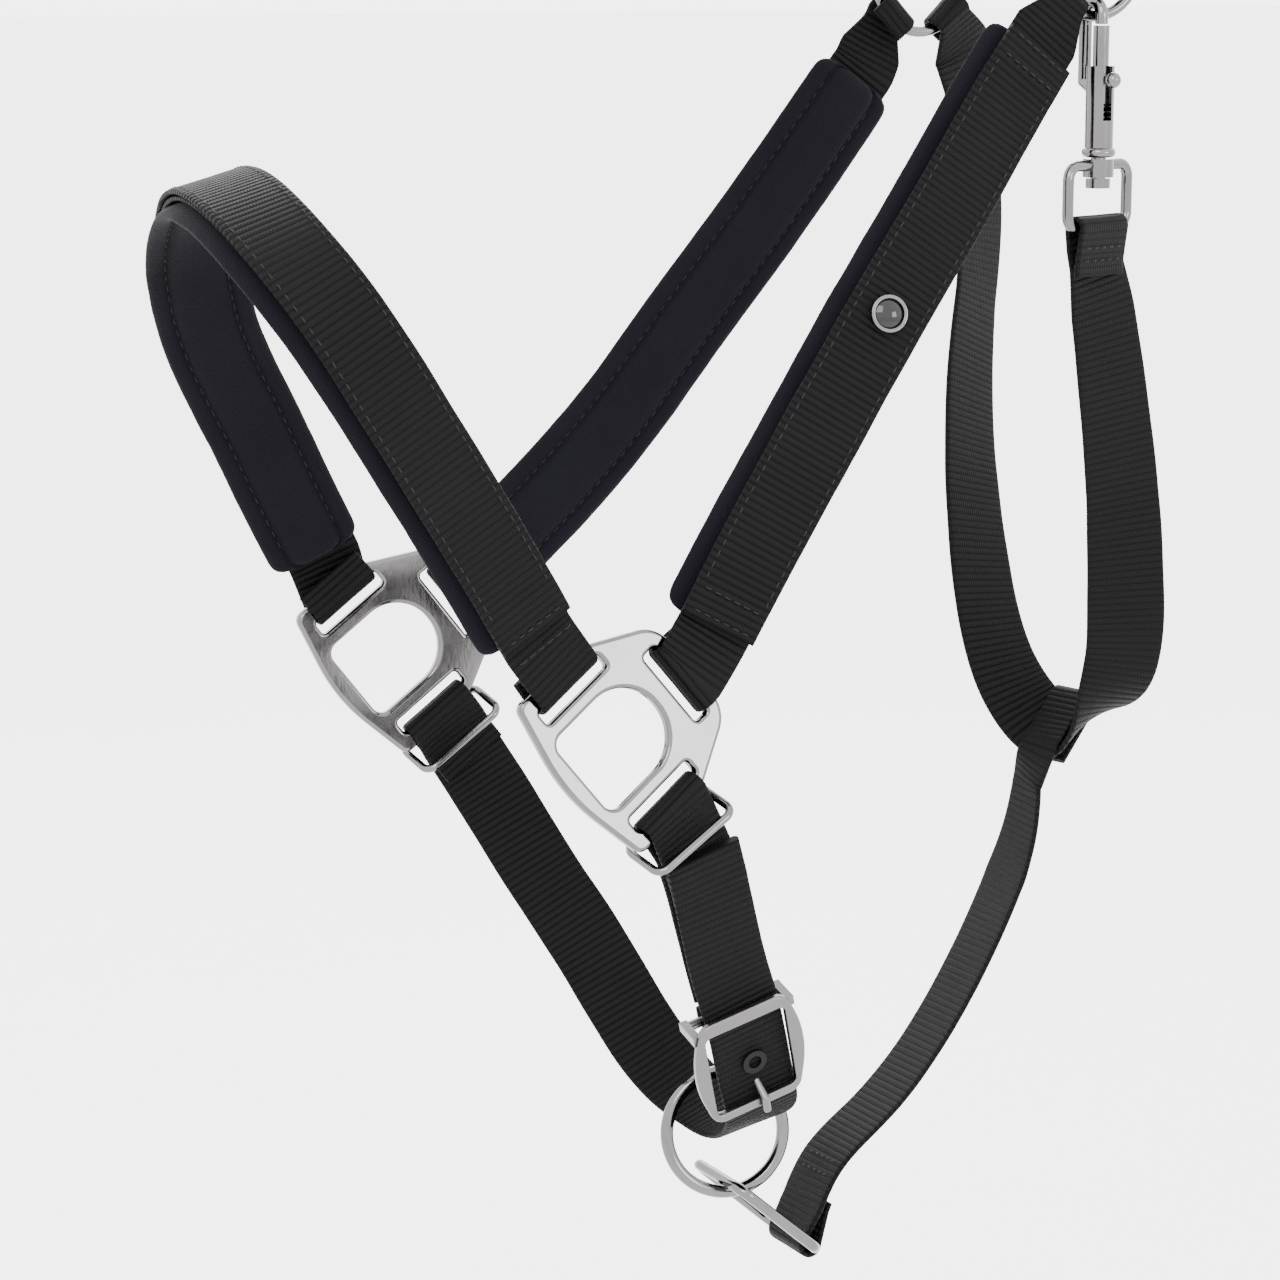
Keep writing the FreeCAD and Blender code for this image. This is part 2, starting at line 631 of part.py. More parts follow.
def make_chin_buckle():
    """Rounded square frame with a set-back heel bar, and the tongue hung on it."""
    body = doc.addObject("PartDesign::Body", "chin_rim")
    sketch = sketch_on(body, "XY_Plane")
    wide = size("chin_frame_width") / 2
    tall = size("chin_frame_height") / 2
    outline(sketch, [(5.4 - wide, -tall), (wide - 5.4, -tall), (wide, 0), (wide - 5.4, tall),
                     (5.4 - wide, tall), (-wide, 0)], [5.0, 5.0, 40.0, 6.0, 6.0, 40.0])
    window = size("chin_window_width") / 2
    low = 3.0 - tall
    high = tall - 4.8
    outline(sketch, [(-window, low), (window, low), (window, high), (-window, high)], [2.2] * 4)
    pad = pad_up(body, sketch, "chin_frame_thick", True)
    round_edges(body, pad, "0.8", lies_flat)
    front = HALF + GAP + size("chin_frame_thick") / 2
    body.Placement = FreeCAD.Placement(V(-1.8, 3.1, front), FreeCAD.Rotation())
    pieces = [body]
    for x in (-17.6, 14.6):
        lug = primitive("Part::Box", at=(x - 1.3, HEEL_Y - 1.6, HEEL_BACK - 1.6))
        lug.Length = 2.6
        lug.Width = 3.2
        lug.Height = front - HEEL_BACK + 1.6
        pieces.append(lug)
    heel = primitive("Part::Cylinder", (-17, HEEL_Y, HEEL_BACK), (0, 1, 0, 90), Radius="heel_bar / 2")
    heel.Height = 31
    pieces.append(heel)
    place(fuse("chin_buckle", pieces), "chin_buckle_frame", CHIN_BUCKLE)
    rest = front + size("chin_frame_thick") / 2 + size("tongue_wire") / 2 + 0.1
    near = HEEL_BACK + size("heel_bar") / 2 + 0.15 + size("tongue_wire") / 2
    path = [(HEEL_Y, near), (-6.4, near), (-12.4, rest), (-16.4, rest)]
    place(tongue(path, HEEL_Y, HEEL_BACK), "chin_buckle_tongue", CHIN_BUCKLE)


def tongue(path, heel_y, heel_z):
    """A buckle tongue: a loop round the heel bar and a blade along straight runs."""
    wire = size("tongue_wire") / 2
    loop = size("heel_bar") / 2 + 0.15 + wire
    pieces = [Part.makeTorus(loop, wire, V(0, heel_y, heel_z), V(1, 0, 0))]
    for (y0, z0), (y1, z1) in zip(path, path[1:]):
        run = V(0, y1 - y0, z1 - z0)
        pieces.append(Part.makeCylinder(wire, run.Length, V(0, y0, z0), run))
        pieces.append(Part.makeSphere(wire, V(0, y1, z1)))
    shape = pieces[0].multiFuse(pieces[1:])
    feature = doc.addObject("Part::Feature", "tongue")
    bore = Part.makeCylinder(size("heel_bar") / 2 + 0.12, 20, V(-10, heel_y, heel_z), V(1, 0, 0))
    feature.Shape = shape.cut(bore)
    return feature


def make_sliders():
    """Wire sliders that hold the chin strap's and the billet's layers together."""
    wire_frame("near_slider", "near_slider_width", "near_slider_depth", "slider_wire", 2.0, NEAR_SLIDER)
    wire_frame("off_slider", "off_slider_width", "off_slider_depth", "slider_wire", 2.0, OFF_SLIDER)


# ---------------------------------------------------------------- gullet and throat
def make_gullet():
    """Link through the lead ring and the gullet strap that rises to the throat strap."""
    wire_frame("gullet_link", "link_width", "link_length", "link_wire", 3.0, LINK)
    low = -(size("link_length") - size("link_wire")) / 2
    link_bar = bar(LINK, 0, low)
    away = V(0.42, 0, 0.91)
    out = V(-0.91, 0, 0.42)
    turn = size("link_wire") / 2 + GAP + HALF + 0.2
    frames = looped_start(GULLET, link_bar, (0, 1, 0), away, out, turn, 14)
    start = len(frames)
    frames += GULLET.frames(2, GULLET.length, step=8.0)
    narrow = len(frames) - 6
    seat, long = THROAT.frame(THROAT_LOOP)
    along = THROAT.middle.tangent(THROAT_LOOP)[0] * -1
    flat = along.cross(long)
    seat = seat - flat * 0.6
    reach = size("webbing_width") / 2 - 0.5
    thick = 3.8
    frames.append((seat - long * reach - flat * thick, along))
    frames += wrap(seat + long * reach, along, long * -1, flat * -1, thick)
    frames.append((seat - long * (reach - 2) + flat * thick, along))
    full = size("core_width")
    slim = size("narrow_width")
    taper = [full + (slim - full) * i / 6 for i in range(6)]
    widths = [21.2] * start + [full] * (narrow - start) + taper
    widths += [slim] * (len(frames) - narrow - 6)
    place(ribbon("gullet_strap", frames, full, size("webbing_thick"), widths), "gullet_strap")


def make_throat():
    """Throat strap from the off top ring, under the throat and up to the snap's eye."""
    towards = (0.7, 0, -0.72)
    ring_at, sagitta = ring_bar(OFF_RING, towards)
    frames = looped_start(THROAT, ring_at, (0.72, 0, 0.7), V(*towards).normalize(), V(0, -1, 0),
                          ring_wrap(sagitta), 5)
    slim_count = len(frames)
    frames += THROAT.frames(4, THROAT.length - 1, step=8.0)
    eye_bar = bar(EYE, 0, -(size("eye_height") - size("eye_wire")) / 2)
    turn = size("eye_wire") / 2 + GAP + HALF
    loop = looped_end(eye_bar, turned(EYE, (1, 0, 0)), V(0, 0, -1), V(-0.30, 0.95, 0), turn, 14)
    frames += loop
    full = size("webbing_width")
    slim = size("narrow_width")
    widths = [slim] * (slim_count + 1) + [(full + slim) / 2] + [full] * (len(frames) - slim_count - 2)
    widths[-len(loop):] = [23.4] * len(loop)
    place(ribbon("throat_strap", frames, full, size("webbing_thick"), widths), "throat_strap")


# ---------------------------------------------------------------- crown
def make_crown():
    """Crown strap over the poll, its pad, the near-side billet, buckle and keeper."""
    up = V(0, 0, 1)
    ring_at, sagitta = ring_bar(OFF_RING, (0, 0, 1))
    frames = looped_start(CROWN, ring_at, (1, 0, 0), up, V(0, 1, 0), ring_wrap(sagitta), 8)
    slim_count = len(frames)
    frames += CROWN.frames(8, CROWN.length, step=8.0)
    full = size("webbing_width")
    slim = size("narrow_width")
    widths = [slim] * slim_count + [(full + slim) / 2] + [full] * (len(frames) - slim_count - 1)
    strap = ribbon("crown_strap", frames, full, size("webbing_thick"), widths)
    punch(strap, off_place(CROWN_BUCKLE, 0, CROWN_HEEL_Y + 4.7, 4), 4.6, 15.5)
    rings = []
    for z_from_buckle in (28.0, 50.0, 72.0):
        along = along_at_height(CROWN, CROWN_BUCKLE.Base.z + z_from_buckle)
        point, across = CROWN.frame(along, HALF + 0.15)
        tangent = CROWN.middle.tangent(along)[0]
        seat = FreeCAD.Placement(point, FreeCAD.Rotation(tangent, across, tangent.cross(across), "XYZ"))
        punch_round(strap, seat)
        ring = eyelet_ring()
        ring.Placement = seat
        rings.append(ring)
    place(strap, "crown_strap")
    group = doc.addObject("Part::Compound", "eyelets")
    group.Links = rings
    place(group, "crown_eyelets")
    middle = along_at_y(CROWN, 0)
    drop = HALF + GAP + size("pad_thick") / 2
    pad = CROWN.frames(middle - 88, middle + 88, -drop)
    place(ribbon("crown_pad", pad, size("crown_pad_width"), size("pad_thick"), bevel=1.6), "crown_pad")
    make_crown_billet()
    make_crown_buckle()


def along_at_height(route, z):
    """Distance along the near half of a route where it passes a height."""
    along = route.length * 0.55
    while route.middle.value(along).z > z:
        along += 0.5
    return along


def along_at_y(route, y):
    """Distance along a route where it crosses a y value."""
    along = 0.0
    while route.middle.value(along).y > y:
        along += 0.5
    return along


def make_crown_billet():
    """Doubled strap from the near top ring to the crown buckle's heel bar."""
    ring_at, sagitta = ring_bar(NEAR_RING, (0, 0, 1))
    heel = bar(CROWN_BUCKLE, 0, CROWN_HEEL_Y)
    turn = size("crown_wire") / 2 + GAP + HALF
    high = wrap(heel, (1, 0, 0), V(0, 0, -1), V(0, -1, 0), turn)
    legs = HALF + GAP + 0.2
    up_leg = [(V(-3.2, -57.6 - legs, -138), V(1, 0, 0)), (V(-3, -59.4 - legs, -127), V(1, 0, 0))]
    down_leg = [(V(-3, -59.4 + legs, -127), V(1, 0, 0)), (V(-3.2, -57.6 + legs, -137), V(1, 0, 0))]
    frames = wrap(ring_at, (1, 0, 0), V(0, 0, 1), V(0, -1, 0), ring_wrap(sagitta))[::-1]
    frames += up_leg + high + down_leg
    slim = size("narrow_width")
    full = size("core_width")
    widths = [slim] * 7 + [full] * (len(frames) - 8) + [(full + slim) / 2]
    strap = ribbon("crown_billet", frames, full, size("webbing_thick"), widths)
    punch(strap, off_place(CROWN_BUCKLE, 0, CROWN_HEEL_Y + 2), 4.6, 16)
    place(strap, "crown_billet")


def make_keeper():
    """Flat keeper loop that holds the crown strap's tail against the billet."""
    body = doc.addObject("PartDesign::Body", "keeper")
    sketch = sketch_on(body, "XY_Plane")
    a = size("keeper_width") / 2
    b = size("keeper_deep") / 2
    w = size("keeper_wall")
    outline(sketch, [(-a, -b), (a, -b), (a, b), (-a, b)], [2.6] * 4)
    outline(sketch, [(w - a, w - b), (a - w, w - b), (a - w, b - w), (w - a, b - w)], [1.0] * 4)
    pad_up(body, sketch, "keeper_length")
    place(body, "crown_keeper", FreeCAD.Placement(V(-3, -61.6, -131), FreeCAD.Rotation()))


def make_crown_buckle():
    """Roller buckle: wire frame, roller on the tip bar and tongue on the heel bar."""
    frame = wire_frame("crown_frame", "crown_frame_width", "crown_frame_height", "crown_wire", 2.0, None)
    place(frame, "crown_buckle_frame", CROWN_BUCKLE)
    outer = primitive("Part::Cylinder", (-11, 0, 0), (0, 1, 0, 90), Radius="roller_outer / 2")
    inner = primitive("Part::Cylinder", (-11, 0, 0), (0, 1, 0, 90), Radius="roller_outer / 2 - 1.05")
    outer.Height = 22
    inner.Height = 22
    place(cut("roller", outer, inner), "crown_buckle_roller", off_place(CROWN_BUCKLE, 0, CROWN_TIP_Y))
    wire = size("tongue_wire") / 2
    rest = size("roller_outer") / 2 + wire + 0.1
    near = size("crown_wire") / 2 + 0.15 + wire
    path = [(CROWN_HEEL_Y, near), (CROWN_TIP_Y, rest), (CROWN_TIP_Y + 3, rest - 0.2)]
    place(tongue(path, CROWN_HEEL_Y, 0), "crown_buckle_tongue", CROWN_BUCKLE)


# ---------------------------------------------------------------- snap
def make_snap():
    """Swivel bolt snap: hooked body, spring bolt with thumb knob, spring and webbing eye."""
    reach = size("hook_reach")
    barrel_top = -15.0
    length = size("barrel_length")
    low = barrel_top - length
    bore = primitive("Part::Cylinder", (0, 0, low + 3), Radius="bolt / 2 + 0.08", Height="barrel_length * 2")
    slot = primitive("Part::Box", at=(-1.5, -8, barrel_top - 16.6))
    slot.Length, slot.Width, slot.Height = 3.0, 8, 18
    shell = primitive("Part::Cylinder", (0, 0, low), Radius="barrel / 2", Height="barrel_length")
    hollow = cut("snap_shell", cut("snap_bored", shell, bore), slot)
    collar = primitive("Part::Torus", (0, 0, low - 1.4), Radius1="barrel / 2 - 0.6")
    collar.Radius2 = 1.5
    plug = primitive("Part::Cylinder", (0, 0, low - 2.9), Radius="barrel / 2 - 0.6")
    plug.Height = 3.5
    stem = primitive("Part::Cylinder", (0, 0, low - 10.2), Radius="bolt / 2 - 0.2")
    stem.Height = 8
    head = primitive("Part::Cylinder", (0, 0, low - 12.4), Radius="barrel / 2 - 0.6")
    head.Height = 3.0
    arm = primitive("Part::Cylinder", (0, 2 * reach, barrel_top - 5), Radius="hook_wire / 2")
    arm.Height = -barrel_top + 5
    bend = primitive("Part::Torus", (0, reach, 0), (0, 1, 0, 90), Radius1="hook_reach",
                     Radius2="hook_wire / 2")
    upper = primitive("Part::Box", at=(-6, -10, 0))
    upper.Length, upper.Width, upper.Height = 12, 24, 12
    arch = doc.addObject("Part::Common", "arch")
    arch.Base = bend
    arch.Tool = upper
    tip = primitive("Part::Cylinder", (0, 0, -2.3), Radius="hook_wire / 2")
    tip.Height = 2.3
    elbow = primitive("Part::Sphere", (0, 2 * reach, barrel_top - 5), Radius="hook_wire / 2")
    foot = primitive("Part::Cylinder", (0, 2 * reach, barrel_top - 5), (1, 0, 0, 116),
                     Radius="hook_wire / 2")
    foot.Height = 5.4
    body = fuse("snap", [hollow, collar, plug, stem, head, arm, arch, tip, elbow, foot])
    place(body, "snap_body", SNAP_UP)
    bolt = primitive("Part::Cylinder", (0, 0, barrel_top - 11.5), Radius="bolt / 2")
    bolt.Height = -barrel_top + 11.5 - 2.7
    neck = primitive("Part::Cylinder", (0, 0, barrel_top - 4.2), (1, 0, 0, 90))
    neck.Radius = 1.3
    neck.Height = 6.0
    knob = primitive("Part::Sphere", (0, -6.7, barrel_top - 4.2), Radius="bolt / 2")
    place(fuse("bolt", [bolt, neck, knob]), "snap_bolt", SNAP_UP)
    wire = doc.addObject("Part::Feature", "spring_wire")
    spine = Part.makeHelix(1.6, 9.6, 1.9)
    start = Part.Wire(Part.makeCircle(0.28, V(1.9, 0, 0), V(0, 1, 0.13)))
    wire.Shape = Part.Wire(spine).makePipeShell([start], True, True)
    place(wire, "snap_spring", FreeCAD.Placement(SNAP_UP.multVec(V(0, 0, low + 3.3)), SNAP_UP.Rotation))
    make_eye(low)


def make_eye(low):
    """Webbing eye: a wire loop with a boss that turns on the snap's stem."""
    frame = wire_frame("eye_loop", "eye_width", "eye_height", "eye_wire", 2.5, None)
    frame.Placement = EYE
    boss = primitive("Part::Cylinder", (0, 0, 0), Radius="barrel / 2 + 0.4")
    boss.Height = 5.6
    boss.Placement = FreeCAD.Placement(SNAP_UP.multVec(V(0, 0, low - 9.0)), SNAP_UP.Rotation)
    hole = primitive("Part::Cylinder", (0, 0, 0), Radius="bolt / 2 - 0.12")
    hole.Height = 16
    hole.Placement = FreeCAD.Placement(SNAP_UP.multVec(V(0, 0, low - 16.0)), SNAP_UP.Rotation)
    place(cut("eye", fuse("eye_solid", [frame, boss]), hole), "snap_eye")


def check_and_write():
    """Stops on any failed object, then writes each sub-part's STEP file."""
    doc.recompute()
    for obj in doc.Objects:
        if "Invalid" in obj.State or "Error" in obj.State:
            raise RuntimeError("%s failed: %s" % (obj.Name, obj.State))
    os.makedirs("parts", exist_ok=True)
    for obj in parts:
        shape = obj.Shape
        if shape.isNull() or not shape.isValid():
            raise RuntimeError("%s has no valid shape" % obj.Label)
        box = shape.BoundBox
        spans = (box.XMin, box.XMax, box.YMin, box.YMax, box.ZMin, box.ZMax)
        words = (obj.Label, len(shape.Solids), shape.Volume) + spans
        print("%-22s solids %d volume %9.1f box x %.1f..%.1f y %.1f..%.1f z %.1f..%.1f" % words)
        shape.exportStep("parts/%s.step" % obj.Label)


SNAP_UP = FreeCAD.Placement(SNAP.Base, FreeCAD.Rotation())
make_noseband()
make_cheek("near_cheek", NEAR_CHEEK, NEAR_PLATE, NEAR_RING, -1, 1)
make_cheek("off_cheek", OFF_CHEEK, OFF_PLATE, OFF_RING, 1, -1)
make_badge()
make_plate("near_plate", NEAR_PLATE)
make_plate("off_plate", OFF_PLATE)
make_rings()
make_chin()
make_sliders()
make_gullet()
make_throat()
make_crown()
make_keeper()
make_snap()
check_and_write()
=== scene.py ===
"""Looks for the webbing horse headcollar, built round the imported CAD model."""

import logging
import math
from dataclasses import dataclass, field
from enum import Enum

import bmesh
import bpy
import numpy as np
from mathutils import Matrix, Vector, noise


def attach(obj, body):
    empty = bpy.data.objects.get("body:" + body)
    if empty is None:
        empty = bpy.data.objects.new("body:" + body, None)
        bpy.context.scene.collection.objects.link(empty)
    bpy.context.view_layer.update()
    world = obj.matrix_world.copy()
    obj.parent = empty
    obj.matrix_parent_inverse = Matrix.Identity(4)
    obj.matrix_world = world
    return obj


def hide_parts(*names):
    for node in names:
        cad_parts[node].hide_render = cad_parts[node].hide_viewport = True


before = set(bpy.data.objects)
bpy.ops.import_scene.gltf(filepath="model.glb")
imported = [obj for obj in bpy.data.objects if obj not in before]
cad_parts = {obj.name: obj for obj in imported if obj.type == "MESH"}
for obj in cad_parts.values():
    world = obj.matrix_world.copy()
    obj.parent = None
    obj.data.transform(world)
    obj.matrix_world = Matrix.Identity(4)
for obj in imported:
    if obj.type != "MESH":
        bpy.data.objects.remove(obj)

logging.basicConfig(level=logging.INFO)
log = logging.getLogger("headcollar")

MM = 0.001
ROOT = "headcollar"
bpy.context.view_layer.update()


# ---------------------------------------------------------------- shader wiring
class Graph:
    """A node tree whose nodes all come from one method."""

    def __init__(self, tree: bpy.types.NodeTree) -> None:
        self.tree = tree

    def node(self, kind: str, settings: dict, sockets: dict) -> bpy.types.Node:
        """Adds a node.

        Args:
            kind: node type.
            settings: node properties, and "stops" for a ramp's two end colours; set first.
            sockets: value or link of each input, by name or number.

        Returns:
            The new node.
        """
        node = self.tree.nodes.new(kind)
        for name, value in settings.items():
            if name == "stops":
                for element, colour in zip(node.color_ramp.elements, value):
                    element.color = (*colour, 1.0)
            else:
                setattr(node, name, value)
        for name, value in sockets.items():
            if isinstance(value, Socket):
                self.tree.links.new(value.out, node.inputs[name])
            else:
                node.inputs[name].default_value = value
        return node


class Socket:
    """An output socket that can be used in arithmetic."""

    def __init__(self, graph: Graph, out: bpy.types.NodeSocket) -> None:
        self.graph = graph
        self.out = out

    def _math(self, operation: str, *terms: "Socket | float") -> "Socket":
        node = self.graph.node("ShaderNodeMath", {"operation": operation}, dict(enumerate(terms)))
        return Socket(self.graph, node.outputs[0])

    def __add__(self, other: "Socket | float") -> "Socket":
        return self._math("ADD", self, other)

    def __radd__(self, other: float) -> "Socket":
        return self._math("ADD", other, self)

    def __sub__(self, other: "Socket | float") -> "Socket":
        return self._math("SUBTRACT", self, other)

    def __rsub__(self, other: float) -> "Socket":
        return self._math("SUBTRACT", other, self)

    def __mul__(self, other: "Socket | float") -> "Socket":
        return self._math("MULTIPLY", self, other)

    def __rmul__(self, other: float) -> "Socket":
        return self._math("MULTIPLY", other, self)

    def __pow__(self, other: float) -> "Socket":
        return self._math("POWER", self, other)

    def sine(self) -> "Socket":
        """Sine of the value, in radians."""
        return self._math("SINE", self)

    def absolute(self) -> "Socket":
        """The value without its sign."""
        return self._math("ABSOLUTE", self)

    def floor(self) -> "Socket":
        """The value rounded down."""
        return self._math("FLOOR", self)


@dataclass(frozen=True)
class Finish:
    """Constant numbers of one surface finish.

    Args:
        name: material name.
        low: darker end of the colour ramp, linear RGB: painted shade in the webbing's rib hollows, a random
            darker tone on the other finishes.
        high: lighter end of the colour ramp, linear RGB: painted highlight on the webbing's raised rib
            crests, the clean metal or a random lighter tone on the other finishes.
        metallic: 0 for cloth, 1 for metal.
        rough: middle roughness.
        sheen: weight of the cloth sheen.
        bump: height of the relief in metres.
        shine: strength of the surface reflection of cloth.
    """

    name: str
    low: tuple[float, float, float]
    high: tuple[float, float, float]
    metallic: float = 0.0
    rough: float = 0.5
    sheen: float = 0.0
    bump: float = 0.0003
    shine: float = 0.5


class Shader(Graph):
    """One material with its node tree and a principled surface."""

    def __init__(self, finish: Finish) -> None:
        self.finish = finish
        self.material = bpy.data.materials.new(finish.name)
        self.material.use_nodes = True
        super().__init__(self.material.node_tree)
        self.surface = self.tree.nodes["Principled BSDF"]
        constants = {
            "Metallic": finish.metallic,
            "Roughness": finish.rough,
            "Specular IOR Level": finish.shine,
            "Sheen Weight": finish.sheen,
            "Sheen Roughness": 0.45,
            "Base Color": (*finish.high, 1.0),
        }
        for name, value in constants.items():
            self.surface.inputs[name].default_value = value

    def uv(self) -> tuple[Socket, Socket]:
        """Across and along coordinates in metres."""
        source = self.node("ShaderNodeUVMap", {"uv_map": "strap"}, {})
        split = self.node("ShaderNodeSeparateXYZ", {}, {0: Socket(self, source.outputs[0])})
        return Socket(self, split.outputs[0]), Socket(self, split.outputs[1])

    def here(self) -> Socket:
        """The object's own coordinates."""
        return Socket(self, self.node("ShaderNodeTexCoord", {}, {}).outputs["Object"])

    def noise(self, scale: float, detail: float = 2.0, stretch: tuple = (1, 1, 1)) -> Socket:
        """Noise over the object's own coordinates."""
        turn = self.node("ShaderNodeMapping", {}, {"Scale": stretch, "Vector": self.here()})
        sockets = {"Scale": scale, "Detail": detail, "Vector": Socket(self, turn.outputs[0])}
        return Socket(self, self.node("ShaderNodeTexNoise", {}, sockets).outputs[0])

    def cells(self, scale: float) -> Socket:
        """Distance to the nearest cell centre, for knitted and pebbled faces."""
        sockets = {"Scale": scale, "Vector": self.here()}
        return Socket(self, self.node("ShaderNodeTexVoronoi", {}, sockets).outputs["Distance"])

    def colour(self, amount: Socket) -> None:
        """Base colour from low to high by an amount."""
        stops = {"stops": (self.finish.low, self.finish.high)}
        ramp = self.node("ShaderNodeValToRGB", stops, {0: amount})
        self.tree.links.new(ramp.outputs[0], self.surface.inputs["Base Color"])

    def roughness(self, amount: Socket) -> None:
        """Roughness from a varying value."""
        self.tree.links.new(amount.out, self.surface.inputs["Roughness"])

    def relief(self, height: Socket, strength: float = 1.0) -> None:
        """Bump from a height between 0 and 1."""
        sockets = {"Strength": strength, "Distance": self.finish.bump, "Height": height}
        node = self.node("ShaderNodeBump", {}, sockets)
        self.tree.links.new(node.outputs[0], self.surface.inputs["Normal"])


# webbing low and high: painted shade in the rib hollows and a painted highlight on the rib crests, around
# the strap's own near-black
WEBBING = Finish("webbing", (0.0002, 0.0002, 0.0003), (0.0034, 0.0034, 0.0037),
                 rough=0.72, bump=0.0006, shine=0.05)
PADDING = Finish("padding", (0.0010, 0.0009, 0.0017), (0.0034, 0.0030, 0.0052),
                 rough=0.85, sheen=0.02, bump=0.0003, shine=0.04)
THREAD = Finish("thread", (0.0015, 0.0015, 0.0016), (0.0055, 0.0055, 0.006),
                rough=0.6, bump=0.0001, shine=0.12)
DARK_METAL = Finish("dark_metal", (0.075, 0.072, 0.072), (0.13, 0.125, 0.125),
                    metallic=1.0, rough=0.13, bump=0.00006)
SATIN_METAL = Finish("satin_metal", (0.085, 0.08, 0.083), (0.125, 0.118, 0.121),
                     metallic=1.0, rough=0.3, bump=0.00008)
STEEL = Finish("spring_steel", (0.15, 0.15, 0.155), (0.2, 0.2, 0.205),
               metallic=1.0, rough=0.25, bump=0.00005)
GLOSS = Finish("gloss_black", (0.001, 0.001, 0.0012), (0.002, 0.002, 0.0022),
               rough=0.07, bump=0.00003, shine=0.3)
LACQUER = Finish("black_eyelet", (0.001, 0.001, 0.001), (0.004, 0.004, 0.004),
                 rough=0.4, bump=0.00004, shine=0.08)
PALE = Finish("pale_floor", (0.86, 0.86, 0.86), (0.9, 0.9, 0.9), rough=0.9, bump=0.00002)


def webbing_material(finish: Finish, pitch: float = 2.25 * MM) -> bpy.types.Material:
    """Cross-ribbed webbing: rounded ribs with slanted threads on each; the rib hollows carry painted shade
    and the rib crests a painted highlight.
    """
    shader = Shader(finish)
    across, along = shader.uv()
    rib_height_and_shade = (along * (math.pi / pitch)).sine().absolute() ** 0.7
    row = (along * (1 / pitch)).floor()
    threads = ((across * (2 * math.pi / (0.95 * MM))) + row * math.pi + along * 900).sine() * 0.5 + 0.5
    fluff = shader.noise(2200, 3.0)
    wear = shader.noise(28, 2.0)
    # painted shade and highlight: colour follows the rib height, darker in the hollows and lighter on the
    # crests; threads, fluff and wear are the webbing's own tone
    shader.colour(rib_height_and_shade * 0.42 + threads * 0.22 + fluff * 0.3 + (wear - 0.5) * 0.5)
    shader.roughness(fluff * 0.2 + 0.5)
    shader.relief(rib_height_and_shade * 0.8 + threads * rib_height_and_shade * 0.25 + fluff * 0.08)
    return shader.material


def cloth_material(finish: Finish) -> bpy.types.Material:
    """Soft pad face: fine knit with a little cloudiness."""
    shader = Shader(finish)
    knit = shader.cells(1500)
    cloud = shader.noise(34, 3.0)
    grain = shader.noise(900, 2.0)
    shader.colour(cloud * 0.75 + knit * 0.35 + (grain - 0.5) * 0.4)
    shader.roughness(grain * 0.2 + 0.68)
    shader.relief(knit * 0.5 + grain * 0.4 + cloud * 0.3)
    return shader.material


def plain_material(finish: Finish, scale: float = 60, spread: float = 0.16) -> bpy.types.Material:
    """Metal, lacquer or floor with faint tone and gloss variation."""
    shader = Shader(finish)
    tone = shader.noise(scale, 3.0)
    fine = shader.noise(scale * 14, 2.0, (1.0, 1.0, 0.35))
    shader.colour(tone * 0.8 + fine * 0.2)
    shader.roughness((tone - 0.5) * spread + (fine - 0.5) * 0.08 + finish.rough)
    shader.relief(fine * 0.6 + tone * 0.4, 0.5)
    return shader.material


# ---------------------------------------------------------------- geometry helpers
Frame = tuple[Vector, Vector]


def mm(x: float, y: float, z: float) -> Vector:
    """A point given in millimetres, in metres."""
    return Vector((x, y, z)) * MM


class Route:
    """A strap's middle line with the direction across it."""

    def __init__(self, points: list[tuple], acrosses: list[tuple]) -> None:
        self.points = np.array(points, float) * MM
        self.acrosses = [Vector(a).normalized() for a in acrosses]
        gaps = np.linalg.norm(np.diff(self.points, axis=0), axis=1)
        self.stations = np.concatenate([[0.0], np.cumsum(gaps)])
        self.length = float(self.stations[-1])
        self.bends = self._bends()

    def _bends(self) -> np.ndarray:
        """Second derivatives of the smooth curve through the points."""
        count = len(self.points)
        gap = np.diff(self.stations)
        matrix = np.eye(count)
        right = np.zeros((count, 3))
        for i in range(1, count - 1):
            matrix[i, i - 1] = gap[i - 1]
            matrix[i, i] = 2 * (gap[i - 1] + gap[i])
            matrix[i, i + 1] = gap[i]
            slope_after = (self.points[i + 1] - self.points[i]) / gap[i]
            slope_before = (self.points[i] - self.points[i - 1]) / gap[i - 1]
            right[i] = 6 * (slope_after - slope_before)
        return np.linalg.solve(matrix, right)

    def at(self, along: float) -> tuple[Vector, Vector, Vector]:
        """Point, tangent and across direction at a distance along."""
        i = int(np.clip(np.searchsorted(self.stations, along) - 1, 0, len(self.points) - 2))
        gap = self.stations[i + 1] - self.stations[i]
        b = (along - self.stations[i]) / gap
        a = 1 - b
        p, q = self.points[i], self.points[i + 1]
        m, n = self.bends[i], self.bends[i + 1]
        point = a * p + b * q + ((a**3 - a) * m + (b**3 - b) * n) * gap * gap / 6
        slope = (q - p) / gap + ((1 - 3 * a * a) * m + (3 * b * b - 1) * n) * gap / 6
        tangent = Vector(slope).normalized()
        across = self.acrosses[i] * a + self.acrosses[i + 1] * b
        across = (across - tangent * tangent.dot(across)).normalized()
        return Vector(point), tangent, across

    def frame(self, along: float, lift: float = 0.0, shift: float = 0.0) -> Frame:
        """Point and across direction, lifted off the face and shifted sideways."""
        point, tangent, across = self.at(along)
        return point + tangent.cross(across) * lift + across * shift, across

    def frames(self, start: float, end: float, lift: float = 0.0, shift: float = 0.0,
               step: float = 2.2 * MM) -> list[Frame]:
        """Evenly spaced frames from start to end."""
        count = max(2, int(round((end - start) / step)) + 1)
        return [self.frame(start + (end - start) * i / (count - 1), lift, shift) for i in range(count)]


